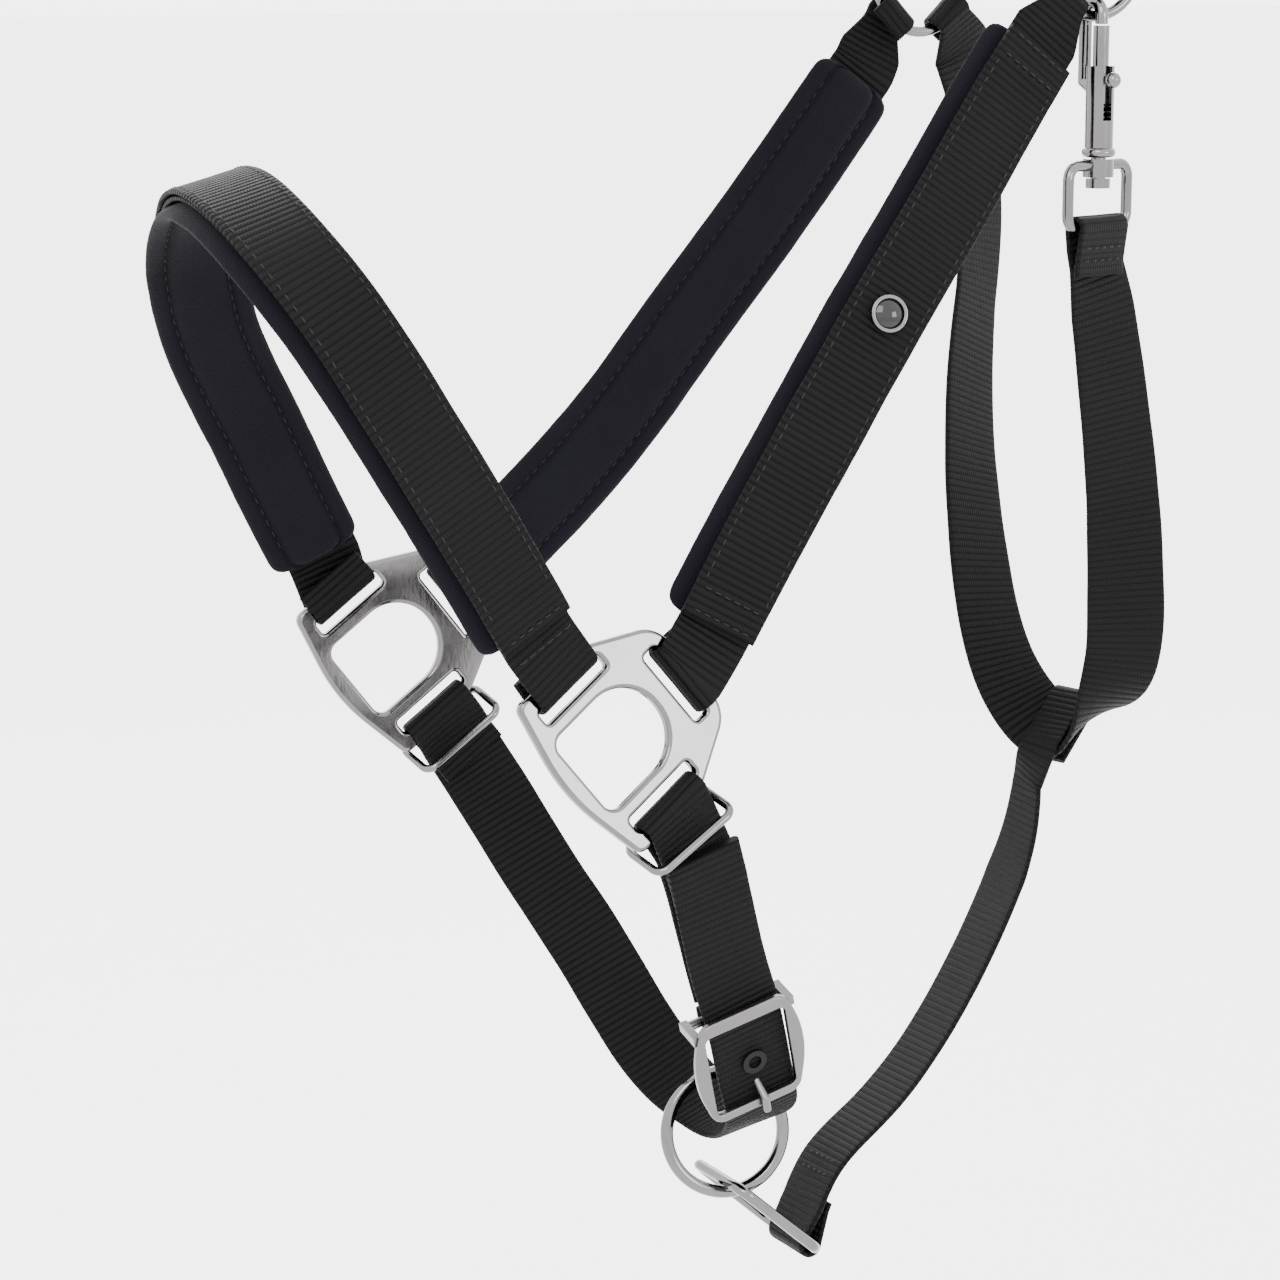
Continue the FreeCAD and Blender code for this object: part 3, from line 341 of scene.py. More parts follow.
@dataclass(frozen=True)
class Place:
    """A local frame of a fitting: centre and three directions."""

    centre: Vector
    x: Vector
    y: Vector
    z: Vector

    @staticmethod
    def of(centre: tuple, x_axis: tuple, y_axis: tuple) -> "Place":
        """A place from a centre in millimetres and two directions."""
        x = Vector(x_axis).normalized()
        y = Vector(y_axis)
        y = (y - x * x.dot(y)).normalized()
        return Place(mm(*centre), x, y, x.cross(y))

    def point(self, x: float = 0, y: float = 0, z: float = 0) -> Vector:
        """A local point in millimetres, in the shared frame."""
        return self.centre + (self.x * x + self.y * y + self.z * z) * MM


NEAR_PLATE = Place.of((-175, -65, -391), (0.60, -0.19, -0.78), (0.80, 0.10, 0.59))
OFF_PLATE = Place.of((-190, 65, -385), (0.59, -0.14, -0.79), (0.80, -0.05, 0.60))
NEAR_RING = Place.of((-3.4, -55, -165), (1, 0, 0), (0, 0, 1))
OFF_RING = Place.of((3, 55, -172), (1, 0, 0), (0, 0, 1))
LEAD_RING = Place.of((-112.4, -20, -534.8), (0.974, -0.225, 0), (0.05, 0.17, 0.98))
LINK = Place.of((-101, -21, -561.8), (0, 1, 0), (-0.75, 0, 0.66))
CHIN_BUCKLE = Place.of((-126, -61, -497), (0.951, -0.095, 0.294), (-0.335, -0.258, 0.907))
CROWN_BUCKLE = Place.of((-3, -63, -103), (1, 0, 0), (0, -0.08, 1))
NEAR_SLIDER = Place.of((-156.8, -70.4, -418.6), (0.84, 0.05, 0.54), (-0.30, 0.90, 0.30))
OFF_SLIDER = Place.of((-170.8, 60.4, -411.8), (0.80, -0.05, 0.60), (-0.30, 0.90, 0.30))
EYE = Place.of((-3.4, -59.25, -236.5), (0.95, 0.30, 0), (0, 0, 1))

THICK = 1.8 * MM
HALF = THICK / 2
GAP = 0.35 * MM
SIDE_BAR = 26.7
SIDE_WRAP = 4.05 * MM
TOP_BAR = 30.25
TOP_WRAP = 3.8 * MM
SLOT_MIDDLE = -0.5
HEEL_WRAP = 1.6 * MM + GAP + HALF
WIDE = 25 * MM
CORE = 24 * MM
SLIM = 14 * MM
WRAP_STEPS = 14
WIRE_SIDES = 20
CORNER_STEPS = 10
STITCH = 2.7 * MM
THREAD_RADIUS = 0.34 * MM
PAD_THICK = 5 * MM

NOSE = Route(
    [(-208, 71.5, -357.5), (-220.5, 70, -333.5), (-235, 66.5, -305.5), (-251, 59, -275), (-260, 47, -252),
     (-267, 27, -235), (-272, 0, -229), (-273, -27, -233), (-270, -47, -243), (-262, -60, -258),
     (-245, -66, -286), (-227, -67, -315), (-209, -66, -344), (-199, -64, -360)],
    [(0.78, -0.22, 0.55), (0.81, -0.28, 0.48), (0.82, -0.28, 0.45), (0.78, -0.40, 0.38),
     (0.85, -0.32, 0.24), (0.93, -0.05, 0.25), (0.95, 0.05, 0.25), (0.93, 0.08, 0.33),
     (0.91, 0.05, 0.40), (0.91, 0.0, 0.42), (0.89, -0.05, 0.46), (0.89, -0.05, 0.46),
     (0.90, -0.02, 0.42), (0.86, 0.03, 0.50)],
)
NEAR_CHEEK = Route(
    [(-144, -64, -364), (-132, -66, -342), (-109, -67, -305), (-84, -66, -268), (-60, -63, -236),
     (-38, -60, -206), (-22, -57.5, -186)],
    [(-0.70, 0.16, 0.68), (-0.80, 0.26, 0.52), (-0.78, 0.33, 0.52), (-0.80, 0.28, 0.52),
     (-0.83, 0.22, 0.50), (-0.84, 0.16, 0.50), (-0.76, 0.06, 0.62)],
)
OFF_CHEEK = Route(
    [(-158, 64, -360), (-133, 66, -340), (-104, 67, -312), (-82, 67, -286), (-59, 65, -258),
     (-37, 62, -229), (-16, 58, -199)],
    [(0.62, -0.16, -0.76), (0.70, -0.16, -0.68), (0.78, -0.14, -0.60), (0.80, -0.14, -0.58),
     (0.80, -0.14, -0.58), (0.80, -0.12, -0.58), (0.74, -0.06, -0.66)],
)
CHIN = Route(
    [(-167, 62, -417), (-153, 60, -440), (-143, 51, -461), (-133, 39, -482), (-125, 23, -504),
     (-119, 6, -520), (-114, -12, -528), (-112, -30, -529), (-115, -46, -522),
     (-120.6, -56.9, -511.5), (-123.3, -58.9, -504.3), (-126, -61, -497), (-128.7, -63.1, -489.7),
     (-131.4, -65.1, -482.5), (-139.3, -68.9, -463), (-144.8, -71.6, -446), (-151.3, -74.2, -425.5)],
    [(0.80, -0.14, 0.58), (0.79, -0.25, 0.55), (0.80, -0.28, 0.53), (0.80, -0.28, 0.53),
     (0.84, -0.20, 0.46), (0.92, -0.12, 0.34), (0.96, -0.06, 0.24), (0.96, -0.10, 0.24),
     (0.96, -0.12, 0.25), (0.951, -0.095, 0.294), (0.951, -0.095, 0.294), (0.951, -0.095, 0.294),
     (0.951, -0.095, 0.294), (0.95, -0.10, 0.30), (0.93, -0.12, 0.34), (0.92, -0.10, 0.38),
     (0.90, -0.06, 0.43)],
)
BILLET = Route(
    [(-134, -61.7, -473.6), (-139, -64.7, -458), (-146, -67.8, -438), (-153, -69.8, -423)],
    [(-0.95, 0.10, -0.30), (-0.94, 0.11, -0.33), (-0.90, 0.07, -0.42), (-0.85, -0.02, -0.53)],
)
GULLET = Route(
    [(-84.5, -21, -565), (-76, -20, -551), (-58, -20, -536), (-38, -20, -516), (-22, -20, -493),
     (-8, -20, -467), (-1, -21, -446), (0.6, -22, -431)],
    [(0.02, 1, 0), (0.02, 1, 0), (0.05, 1, 0), (0.08, 1, 0), (0.08, 1, 0), (0.08, 1, 0), (0.04, 1, 0),
     (0, 1, 0)],
)
THROAT = Route(
    [(20, 57, -191), (25, 57, -208), (27, 55, -229), (27, 52, -252), (23, 48, -277), (16, 40, -303),
     (10, 30, -328), (5, 16, -361), (4, 4, -388), (7, -9, -407), (12, -22, -415), (17, -35, -408),
     (20, -45, -391), (18, -50, -366), (13, -54, -334), (7, -56, -301), (1.5, -56.5, -272),
     (-2, -56.8, -256)],
    [(0.80, 0.10, 0.55), (0.95, 0.26, 0.12), (0.92, 0.36, -0.15), (0.90, 0.37, -0.22),
     (0.87, 0.39, -0.29), (0.92, 0.33, -0.20), (0.95, 0.27, -0.13), (0.99, 0.16, 0.03),
     (0.94, 0.14, 0.28), (0.82, 0.10, 0.52), (0.76, 0.02, 0.64), (0.80, -0.18, 0.52),
     (0.90, -0.38, 0.18), (0.89, -0.45, 0.0), (0.98, -0.19, 0.0), (1.0, -0.05, -0.03),
     (0.99, 0.08, -0.05), (0.95, 0.28, 0.0)],
)
CROWN = Route(
    [(3, 57, -146), (3, 64, -115), (2, 69, -78), (1, 66, -42), (0.5, 50, -10), (0, 26, 3.1),
     (0, 0, 6.25), (0, -26, 3.1), (-1, -50, -10), (-2, -65, -40), (-3, -67, -68),
     (-3, -59.6, -91), (-3, -67.4, -115), (-3, -66, -133), (-3, -64.5, -146)],
    [(1, 0, 0)] * 15,
)
THROAT_LOOP = 248.4 * MM


def wrap(centre: Vector, across: Vector, away: Vector, out: Vector, radius: float) -> list[Frame]:
    """Frames half way round a bar, from its outer side to its inner side."""
    frames = []
    for i in range(WRAP_STEPS + 1):
        angle = math.pi / 2 - math.pi * i / WRAP_STEPS
        point = centre + out * (radius * math.sin(angle)) - away * (radius * math.cos(angle))
        frames.append((point, across))
    return frames


def sewn_back(bar: Vector, across: Vector, away: Vector, out: Vector, radius: float,
              flap: float) -> list[Frame]:
    """A loop round a bar and the flap that is sewn back against the strap."""
    turn = wrap(bar, across, away, out, radius)
    close = radius - HALF - GAP / 2 - 0.1 * MM
    for i in range(1, 6):
        reach = flap * i / 5
        ease = min(1.0, reach / (12 * MM))
        turn.append((turn[WRAP_STEPS][0] + away * reach + out * (close * ease), across))
    return turn


def smooth_join(frames: list[Frame], step: float = 2.2 * MM) -> list[Frame]:
    """Evens out the spacing of a run of frames with a smooth curve."""
    keep = [frames[0]]
    for item in frames[1:]:
        if (item[0] - keep[-1][0]).length > 0.35 * MM:
            keep.append(item)
    out = []
    for i in range(len(keep) - 1):
        p0 = keep[max(0, i - 1)][0]
        p1, a1 = keep[i]
        p2, a2 = keep[i + 1]
        p3 = keep[min(len(keep) - 1, i + 2)][0]
        gap = (p2 - p1).length
        parts = max(1, int(round(gap / step)))
        m1 = (p2 - p0).normalized() * gap
        m2 = (p3 - p1).normalized() * gap
        for k in range(parts):
            t = k / parts
            h1 = 2 * t**3 - 3 * t**2 + 1
            h2 = t**3 - 2 * t**2 + t
            h3 = -2 * t**3 + 3 * t**2
            h4 = t**3 - t**2
            out.append((p1 * h1 + m1 * h2 + p2 * h3 + m2 * h4, a1.lerp(a2, t).normalized()))
    out.append(keep[-1])
    return out


def lengths(frames: list[Frame]) -> list[float]:
    """Distance along at each frame."""
    along = [0.0]
    for a, b in zip(frames, frames[1:]):
        along.append(along[-1] + (b[0] - a[0]).length)
    return along


@dataclass
class Builder:
    """Collects faces with strap coordinates and turns them into one object."""

    bm: bmesh.types.BMesh = field(default_factory=bmesh.new)

    def __post_init__(self) -> None:
        self.uv = self.bm.loops.layers.uv.new("strap")

    def loft(self, sections: list[list[Vector]], across: list[float], along: list[float],
             closed: bool = False) -> None:
        """Skins a run of closed sections.

        Args:
            sections: rings of points, all of one count.
            across: strap coordinate of each point of a ring.
            along: strap coordinate of each ring.
            closed: joins the last ring to the first and leaves out the ends.
        """
        rings = [[self.bm.verts.new(p) for p in ring] for ring in sections]
        count = len(rings[0])
        pairs = list(zip(rings, rings[1:], along, along[1:]))
        if closed:
            pairs.append((rings[-1], rings[0], along[-1], along[-1] + (along[1] - along[0])))
        for here, there, v0, v1 in pairs:
            for k in range(count):
                n = (k + 1) % count
                face = self.bm.faces.new((here[k], here[n], there[n], there[k]))
                spots = ((across[k], v0), (across[n], v0), (across[n], v1), (across[k], v1))
                for loop, spot in zip(face.loops, spots):
                    loop[self.uv].uv = spot
                face.smooth = True
        if not closed:
            for ring, v in ((rings[0][::-1], along[0]), (rings[-1], along[-1])):
                face = self.bm.faces.new(ring)
                for k, loop in enumerate(face.loops):
                    loop[self.uv].uv = (across[k], v)

    def finish(self, name: str, material: bpy.types.Material, body: str = ROOT) -> bpy.types.Object:
        """Makes the object, gives it its material and rides it on a body."""
        bmesh.ops.recalc_face_normals(self.bm, faces=self.bm.faces)
        mesh = bpy.data.meshes.new(name)
        self.bm.to_mesh(mesh)
        self.bm.free()
        mesh.materials.append(material)
        obj = bpy.data.objects.new(name, mesh)
        bpy.context.scene.collection.objects.link(obj)
        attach(obj, body)
        return obj


def strap_sections(frames: list[Frame], widths: list[float], thick: list[float],
                   profile: list[tuple]) -> list[list[Vector]]:
    """Sections of a strap: the profile's x is a share of the half width, its z of the half thickness."""
    sections = []
    last = len(frames) - 1
    for i, (point, across) in enumerate(frames):
        tangent = (frames[min(last, i + 1)][0] - frames[max(0, i - 1)][0]).normalized()
        across = (across - tangent * tangent.dot(across)).normalized()
        normal = tangent.cross(across)
        half = widths[i] / 2
        deep = thick[i] / 2
        sections.append([point + across * (x * half) + normal * (z * deep) for x, z in profile])
    return sections


def band_profile() -> list[tuple[float, float]]:
    """A flat woven band with rounded selvedges."""
    side = [(0.0, 0.94), (0.35, 0.97), (0.7, 1.0), (0.88, 1.0), (0.945, 0.93), (0.985, 0.62), (1.0, 0.2)]
    right = side + [(x, -z) for x, z in side[::-1]]
    left = [(-x, z) for x, z in right[::-1]][1:-1]
    return right + left


BAND = band_profile()


def strap(name: str, frames: list[Frame], widths: float | list[float], material: bpy.types.Material,
          thick: float | list[float] = THICK, replaces: str | None = None) -> bpy.types.Object:
    """A webbing strap along its frames."""
    count = len(frames)
    wide = widths if isinstance(widths, list) else [widths] * count
    deep = thick if isinstance(thick, list) else [thick] * count
    along = lengths(frames)
    build = Builder()
    seed = Vector((len(name) * 1.7, 0, 0))
    wobble = [w * (1 + 0.012 * noise.noise(Vector((s * 60, 0, 0)) + seed)) for w, s in zip(wide, along)]
    across = [x * WIDE / 2 for x, _ in BAND]
    build.loft(strap_sections(frames, wobble, deep, BAND), across, along)
    obj = build.finish(name, material)
    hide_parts(replaces or name.removesuffix("_looks"))
    return obj


def evened(pieces: list[tuple[float, float]], along: list[float]) -> list[float]:
    """Values at each distance from a few given ones, joined smoothly."""
    spots = [p[0] for p in pieces]
    values = [p[1] for p in pieces]
    return [float(v) for v in np.interp(along, spots, values)]


PAD_FACE = [
    (0.0, 0.86), (0.5, 0.9), (0.78, 0.86), (0.9, 0.66), (0.98, 0.3), (1.0, 0.0), (0.97, -0.42),
    (0.89, -0.78), (0.8, -0.88), (0.70, -0.78), (0.65, -0.42), (0.61, -0.2), (0.57, -0.46), (0.51, -0.98), (0.40, -1.18),
    (0.2, -1.26), (0.0, -1.28),
]
PAD = PAD_FACE + [(-x, z) for x, z in PAD_FACE[::-1]][1:-1]


def pad(name: str, frames: list[Frame], width: float, material: bpy.types.Material,
        replaces: str) -> bpy.types.Object:
    """A stuffed, sewn pad: rolled edges, a raised middle and two sewn channels that pucker.

    Args:
        name: object name.
        frames: middle line and across directions.
        width: full width in metres.
        material: the pad's cloth.
        replaces: CAD node it stands for.

    Returns:
        The finished object.
    """
    along = lengths(frames)
    total = along[-1]
    widths = []
    deep = []
    for s in along:
        end = min(s, total - s) / (6 * MM)
        ease = math.sqrt(max(0.0, 1 - (1 - min(1.0, end)) ** 2))
        widths.append(width * (0.72 + 0.28 * ease))
        deep.append(PAD_THICK * (0.34 + 0.66 * ease))
    sections = strap_sections(frames, widths, deep, PAD)
    for i, ring in enumerate(sections):
        middle = sum(ring, Vector()) / len(ring)
        stitch = 0.5 + 0.5 * math.cos(2 * math.pi * along[i] / (4.2 * MM))
        for k, (x, z) in enumerate(PAD):
            point = ring[k]
            lump = noise.noise(point * 95) * 0.35 + noise.noise(point * 240) * 0.18
            away = (point - middle).normalized()
            channel = math.exp(-(((abs(x) - 0.61) / 0.09) ** 2)) if z < 0 else 0.0
            pucker = math.exp(-(((abs(x) - 0.9) / 0.12) ** 2)) * stitch
            push = lump * 0.42 - pucker * 0.16 - channel * stitch * 0.25
            ring[k] = point + away * (push * MM)
    build = Builder()
    build.loft(sections, [x * width / 2 for x, _ in PAD], along)
    obj = build.finish(name, material)
    smooth = obj.modifiers.new("round", "SUBSURF")
    smooth.levels = 1
    smooth.render_levels = 1
    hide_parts(replaces)
    return obj


def stitch_row(build: Builder, spots: list[tuple[Vector, Vector, Vector]], long: float = STITCH) -> None:
    """Short raised threads, one at each spot, that dip at both ends.

    Args:
        build: collects the faces.
        spots: middle, direction along and outward normal of each stitch.
        long: length of a stitch.
    """
    for middle, direction, normal in spots:
        side = direction.cross(normal).normalized()
        sections = []
        for k in range(7):
            t = -1 + k / 3
            size = THREAD_RADIUS * (0.35 + 0.65 * math.sqrt(max(0.0, 1 - t * t * 0.92)))
            centre = middle + direction * (t * long / 2) - normal * (t * t * 0.42 * MM)
            ring = []
            for j in range(6):
                angle = 2 * math.pi * j / 6
                rise = normal * (size * 0.75 * math.sin(angle))
                ring.append(centre + side * (size * math.cos(angle)) + rise)
            sections.append(ring)
        build.loft(sections, [j * 0.3 * MM for j in range(6)], [k * 0.4 * MM for k in range(7)])


def row_along(frames: list[Frame], shift: float, lift: float, start: float, end: float,
              pitch: float = 3.5 * MM) -> list:
    """Stitch spots along a strap at one distance from its middle."""
    along = lengths(frames)
    spots = []
    count = max(1, int((end - start) / pitch))
    for i in range(count):
        s = start + (end - start) * (i + 0.5) / count
        k = int(np.clip(np.searchsorted(along, s) - 1, 0, len(frames) - 2))
        t = (s - along[k]) / max(1e-9, along[k + 1] - along[k])
        point = frames[k][0].lerp(frames[k + 1][0], t)
        across = frames[k][1].lerp(frames[k + 1][1], t)
        a = frames[max(0, k - 1)][0]
        b = frames[min(len(frames) - 1, k + 2)][0]
        tangent = (b - a).normalized()
        across = (across - tangent * tangent.dot(across)).normalized()
        normal = tangent.cross(across)
        out = normal if lift >= 0 else -normal
        spots.append((point + across * shift + normal * lift, tangent, out))
    return spots


def row_across(frames: list[Frame], at: float, lift: float, width: float,
               pitch: float = 3.2 * MM) -> list:
    """Stitch spots in a line across a strap."""
    point, tangent, normal = row_along(frames, 0.0, lift, at - 0.5 * MM, at + 0.5 * MM)[0]
    side = tangent.cross(normal).normalized()
    spots = []
    count = max(2, int(width / pitch))
    for i in range(count):
        x = -width / 2 + width * (i + 0.5) / count
        spots.append((point + side * x, side, normal))
    return spots


# ---------------------------------------------------------------- metal
def tube(name: str, points: list[Vector], radii: list[float], material: bpy.types.Material,
         up: Vector, body: str) -> bpy.types.Object:
    """Round wire along a closed path.

    Args:
        name: object name.
        points: the path.
        radii: wire radius at each point.
        material: metal.
        up: direction out of the path's plane.
        body: body it rides on.

    Returns:
        The finished object.
    """
    sections = []
    count = len(points)
    for i, point in enumerate(points):
        tangent = (points[(i + 1) % count] - points[i - 1]).normalized()
        side = tangent.cross(up).normalized()
        lift = side.cross(tangent)
        ring = []
        for k in range(WIRE_SIDES):
            angle = 2 * math.pi * k / WIRE_SIDES
            ring.append(point + side * (radii[i] * math.cos(angle)) + lift * (radii[i] * math.sin(angle)))
        sections.append(ring)
    along = [0.5 * MM * i for i in range(count)]
    build = Builder()
    build.loft(sections, [k * 0.4 * MM for k in range(WIRE_SIDES)], along, True)
    return build.finish(name, material, body)


def rounded_loop(place: Place, width: float, height: float, corner: float) -> list[Vector]:
    """Points round a rounded rectangle in a place's own plane, from sizes in millimetres."""
    a = width / 2 - corner
    b = height / 2 - corner
    arcs = []
    for n, (x, y) in enumerate(((a, b), (-a, b), (-a, -b), (a, -b))):
        arc = []
        for k in range(CORNER_STEPS + 1):
            angle = math.radians(90 * n + 90 * k / CORNER_STEPS)
            arc.append((x + corner * math.cos(angle), y + corner * math.sin(angle)))
        arcs.append(arc)
    out = []
    for n, arc in enumerate(arcs):
        out += arc
        x1, y1 = arc[-1]
        x2, y2 = arcs[(n + 1) % 4][0]
        for k in range(1, 8):
            t = k / 8
            out.append((x1 * (1 - t) + x2 * t, y1 * (1 - t) + y2 * t))
    return [place.point(x, y) for x, y in out]


def ring(name: str, place: Place, radius: float, wire: float, material: bpy.types.Material,
         weld: float) -> bpy.types.Object:
    """A welded wire ring with a slight swelling at the weld.

    Args:
        name: CAD node and body it stands for.
        place: centre and plane.
        radius: middle radius in millimetres.
        wire: wire radius in millimetres.
        material: metal.
        weld: angle of the weld in degrees.
    """
    points = []
    radii = []
    for k in range(120):
        angle = 2 * math.pi * k / 120
        points.append(place.point(radius * math.cos(angle), radius * math.sin(angle)))
        gap = math.degrees(angle) - weld
        gap = (gap + 180) % 360 - 180
        swell = 0.05 * math.exp(-((gap / 5) ** 2)) - 0.05 * math.exp(-((gap / 1.6) ** 2))
        radii.append(wire * MM * (1 + swell))
    obj = tube(name + "_looks", points, radii, material, place.z, name)
    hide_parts(name)
    return obj


def wire_loop(name: str, place: Place, width: float, height: float, wire: float, corner: float,
              material: bpy.types.Material, body: str) -> bpy.types.Object:
    """A bent wire frame such as a slider, link or buckle."""
    path = rounded_loop(place, width - wire, height - wire, corner)
    obj = tube(name + "_looks", path, [wire / 2 * MM] * len(path), material, place.z, body)
    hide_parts(name)
    return obj


# ---------------------------------------------------------------- the straps
@dataclass
class Looks:
    """The materials, made once.

    Args:
        webbing: ribbed strap.
        cloth: pad face.
        thread: sewing thread.
        metal: dark chrome.
        satin: satin nickel.
        steel: spring wire.
        gloss: badge dome.
        lacquer: eyelets and keeper.
    """

    webbing: bpy.types.Material
    cloth: bpy.types.Material
    thread: bpy.types.Material
    metal: bpy.types.Material
    satin: bpy.types.Material
    steel: bpy.types.Material
    gloss: bpy.types.Material
    lacquer: bpy.types.Material


class Side(Enum):
    """Which side of the horse a cheek is on."""

    NEAR = 1
    OFF = -1


def threads(name: str, rows: list, looks: Looks) -> None:
    """All of one strap's stitching as one object, from rows of spots and stitch lengths."""
    build = Builder()
    for spots, long in rows:
        stitch_row(build, spots, long)
    obj = build.finish(name, looks.thread)


def covered(name: str, route: Route, start: float, end: float, pad_side: float, looks: Looks) -> None:
    """Cover strap with folded, sewn ends and the pad behind it."""
    lift = THICK + GAP
    frames = route.frames(start, end, lift)
    along = lengths(frames)
    total = along[-1]
    fold = 11 * MM
    folded = THICK * 1.5
    ease = fold + 1.6 * MM
    deep = evened([(0, folded), (fold, folded), (ease, THICK), (total - ease, THICK), (total - fold, folded),
                   (total, folded)], along)
    strap(name + "_cover_looks", frames, WIDE, looks.webbing, deep, name + "_cover")
    top = lift + HALF
    rows = []
    base = route.frames(start, end, 0.0)
    for shift in (-10.3 * MM, 10.3 * MM):
        rows.append((row_along(base, shift, top + 0.06 * MM, fold, total - fold), STITCH))
    for at in (2.2 * MM, fold - 1.6 * MM, total - 2.2 * MM, total - fold + 1.6 * MM):
        rows.append((row_across(base, at, top + 0.5 * MM, 20 * MM), STITCH))
    drop = HALF + GAP + PAD_THICK / 2
    offset = pad_side * 1.5 * MM
    pad_frames = route.frames(start - 1 * MM, end + 1 * MM, -drop, offset)
    pad(name + "_pad_looks", pad_frames, 31 * MM, looks.cloth, name + "_pad")
    channel = -(drop + 0.95 * MM)
    for shift in (-9.45 * MM, 9.45 * MM):
        rows.append((row_along(base, shift + offset, channel, 7 * MM, total - 7 * MM, 4.2 * MM), 2.9 * MM))
    threads(name + "_stitching", rows, looks)


def noseband(looks: Looks) -> None:
    """Noseband: core looped on both plates, cover and pad."""
    off_bar = OFF_PLATE.point(-SIDE_BAR, SLOT_MIDDLE)
    near_bar = NEAR_PLATE.point(-SIDE_BAR, SLOT_MIDDLE)
    off = sewn_back(off_bar, OFF_PLATE.y, -OFF_PLATE.x, -OFF_PLATE.z, SIDE_WRAP, 7 * MM)
    near = sewn_back(near_bar, NEAR_PLATE.y, -NEAR_PLATE.x, NEAR_PLATE.z, SIDE_WRAP, 7 * MM)
    run = NOSE.frames(4 * MM, NOSE.length - 2 * MM, step=4 * MM)
    strap("noseband_core_looks", smooth_join(off[::-1] + run + near), CORE, looks.webbing)
    covered("noseband", NOSE, 8 * MM, NOSE.length - 6 * MM, -1, looks)


def ring_seat(place: Place, towards: Vector) -> tuple[Vector, float]:
    """Where a narrowed strap end sits on a round ring, and its wrap radius."""
    sagitta = (16.6 - math.sqrt(16.6**2 - 7.0**2)) / 2
    centre = place.centre + towards.normalized() * (16.6 - sagitta) * MM
    return centre, (1.75 + sagitta) * MM + HALF + GAP + 0.35 * MM


def cheek(name: str, side: Side, route: Route, plate: Place, top_ring: Place, looks: Looks) -> None:
    """Cheek strap from the plate's top slot to the top ring, with cover and pad."""
    sign = side.value
    across = plate.x * -sign
    bottom = sewn_back(plate.point(0, TOP_BAR), across, plate.y, plate.z * sign, TOP_WRAP, 7 * MM)
    towards = Vector((-0.72, 0, -0.69)).normalized()
    seat, radius = ring_seat(top_ring, towards)
    tangent = Vector((0.69, 0, -0.72)).normalized() * -sign
    top = sewn_back(seat, tangent, towards, Vector((0, -sign, 0)), radius, 5 * MM)
    run = route.frames(3 * MM, route.length - 1 * MM, step=4 * MM)
    frames = smooth_join(bottom[::-1] + run + top)
    along = lengths(frames)
    total = along[-1]
    ends = lengths(top)[-1]
    taper = total - ends - 13 * MM
    widths = evened([(0, CORE), (taper, CORE), (taper + 10 * MM, SLIM), (total, SLIM)], along)
    strap(name + "_core_looks", frames, widths, looks.webbing)
    covered(name, route, 5 * MM, route.length - 7 * MM, 1 if side is Side.NEAR else -1, looks)


def throat(looks: Looks) -> None:
    """Throat strap with its sewn loops at the ring and the snap's eye."""
    towards = Vector((0.7, 0, -0.72)).normalized()
    seat, radius = ring_seat(OFF_RING, towards)
    start = sewn_back(seat, Vector((0.72, 0, 0.7)).normalized(), towards, Vector((0, -1, 0)), radius, 5 * MM)
    bar = EYE.point(0, -(22.5 - 3.4) / 2)
    inward = Vector((-0.30, 0.95, 0)).normalized()
    end = sewn_back(bar, EYE.x, Vector((0, 0, -1)), inward, 1.7 * MM + GAP + HALF, 15 * MM)
    run = THROAT.frames(4 * MM, THROAT.length - 1 * MM, step=4 * MM)
    frames = smooth_join(start[::-1] + run + end)
    along = lengths(frames)
    total = along[-1]
    head = lengths(start)[-1]
    tail = lengths(end)[-1]
    widths = evened([(0, SLIM), (head + 2 * MM, SLIM), (head + 14 * MM, WIDE), (total - tail - 4 * MM, WIDE),
                     (total - tail, 23.4 * MM), (total, 23.8 * MM)], along)
    strap("throat_strap_looks", frames, widths, looks.webbing)
    rows = []
    for at in (5 * MM, 9 * MM):
        rows.append((row_across(end, tail - at, HALF + 0.05 * MM, 19 * MM), STITCH))
    threads("throat_stitching", rows, looks)


def gullet(looks: Looks) -> None:
    """Gullet strap from the link up to its loop round the throat strap."""
    bar = LINK.point(0, -(42 - 3.6) / 2)
    away = Vector((0.42, 0, 0.91)).normalized()
    out = Vector((-0.91, 0, 0.42)).normalized()
    start = sewn_back(bar, Vector((0, 1, 0)), away, out, 1.8 * MM + GAP + HALF + 0.2 * MM, 15 * MM)
    run = GULLET.frames(2 * MM, GULLET.length, step=4 * MM)
    seat, tangent, long = THROAT.at(THROAT_LOOP)
    across = -tangent
    flat = across.cross(long)
    seat = seat - flat * (0.6 * MM)
    reach = 12 * MM
    lay = 3.4 * MM
    loop = [(seat - long * reach - flat * lay, across), (seat - flat * lay, across)]
    loop += wrap(seat + long * reach, across, -long, -flat, lay)
    loop += [(seat + flat * lay, across), (seat - long * (reach - 2 * MM) + flat * lay, across)]
    frames = smooth_join(start[::-1] + run + loop)
    along = lengths(frames)
    total = along[-1]
    head = lengths(start)[-1]
    ends = lengths(loop)[-1]
    pinched = 21.2 * MM
    widths = evened([(0, pinched), (head, pinched), (head + 10 * MM, CORE), (total - ends - 44 * MM, CORE),
                     (total - ends - 8 * MM, SLIM), (total, SLIM)], along)
    strap("gullet_strap_looks", frames, widths, looks.webbing)
    rows = []
    for at in (16 * MM, 11 * MM):
        rows.append((row_across(run, at, HALF + 0.05 * MM, 16 * MM), STITCH))
        rows.append((row_across(run, at, -HALF - 0.05 * MM, 16 * MM), STITCH))
    threads("gullet_stitching", rows, looks)


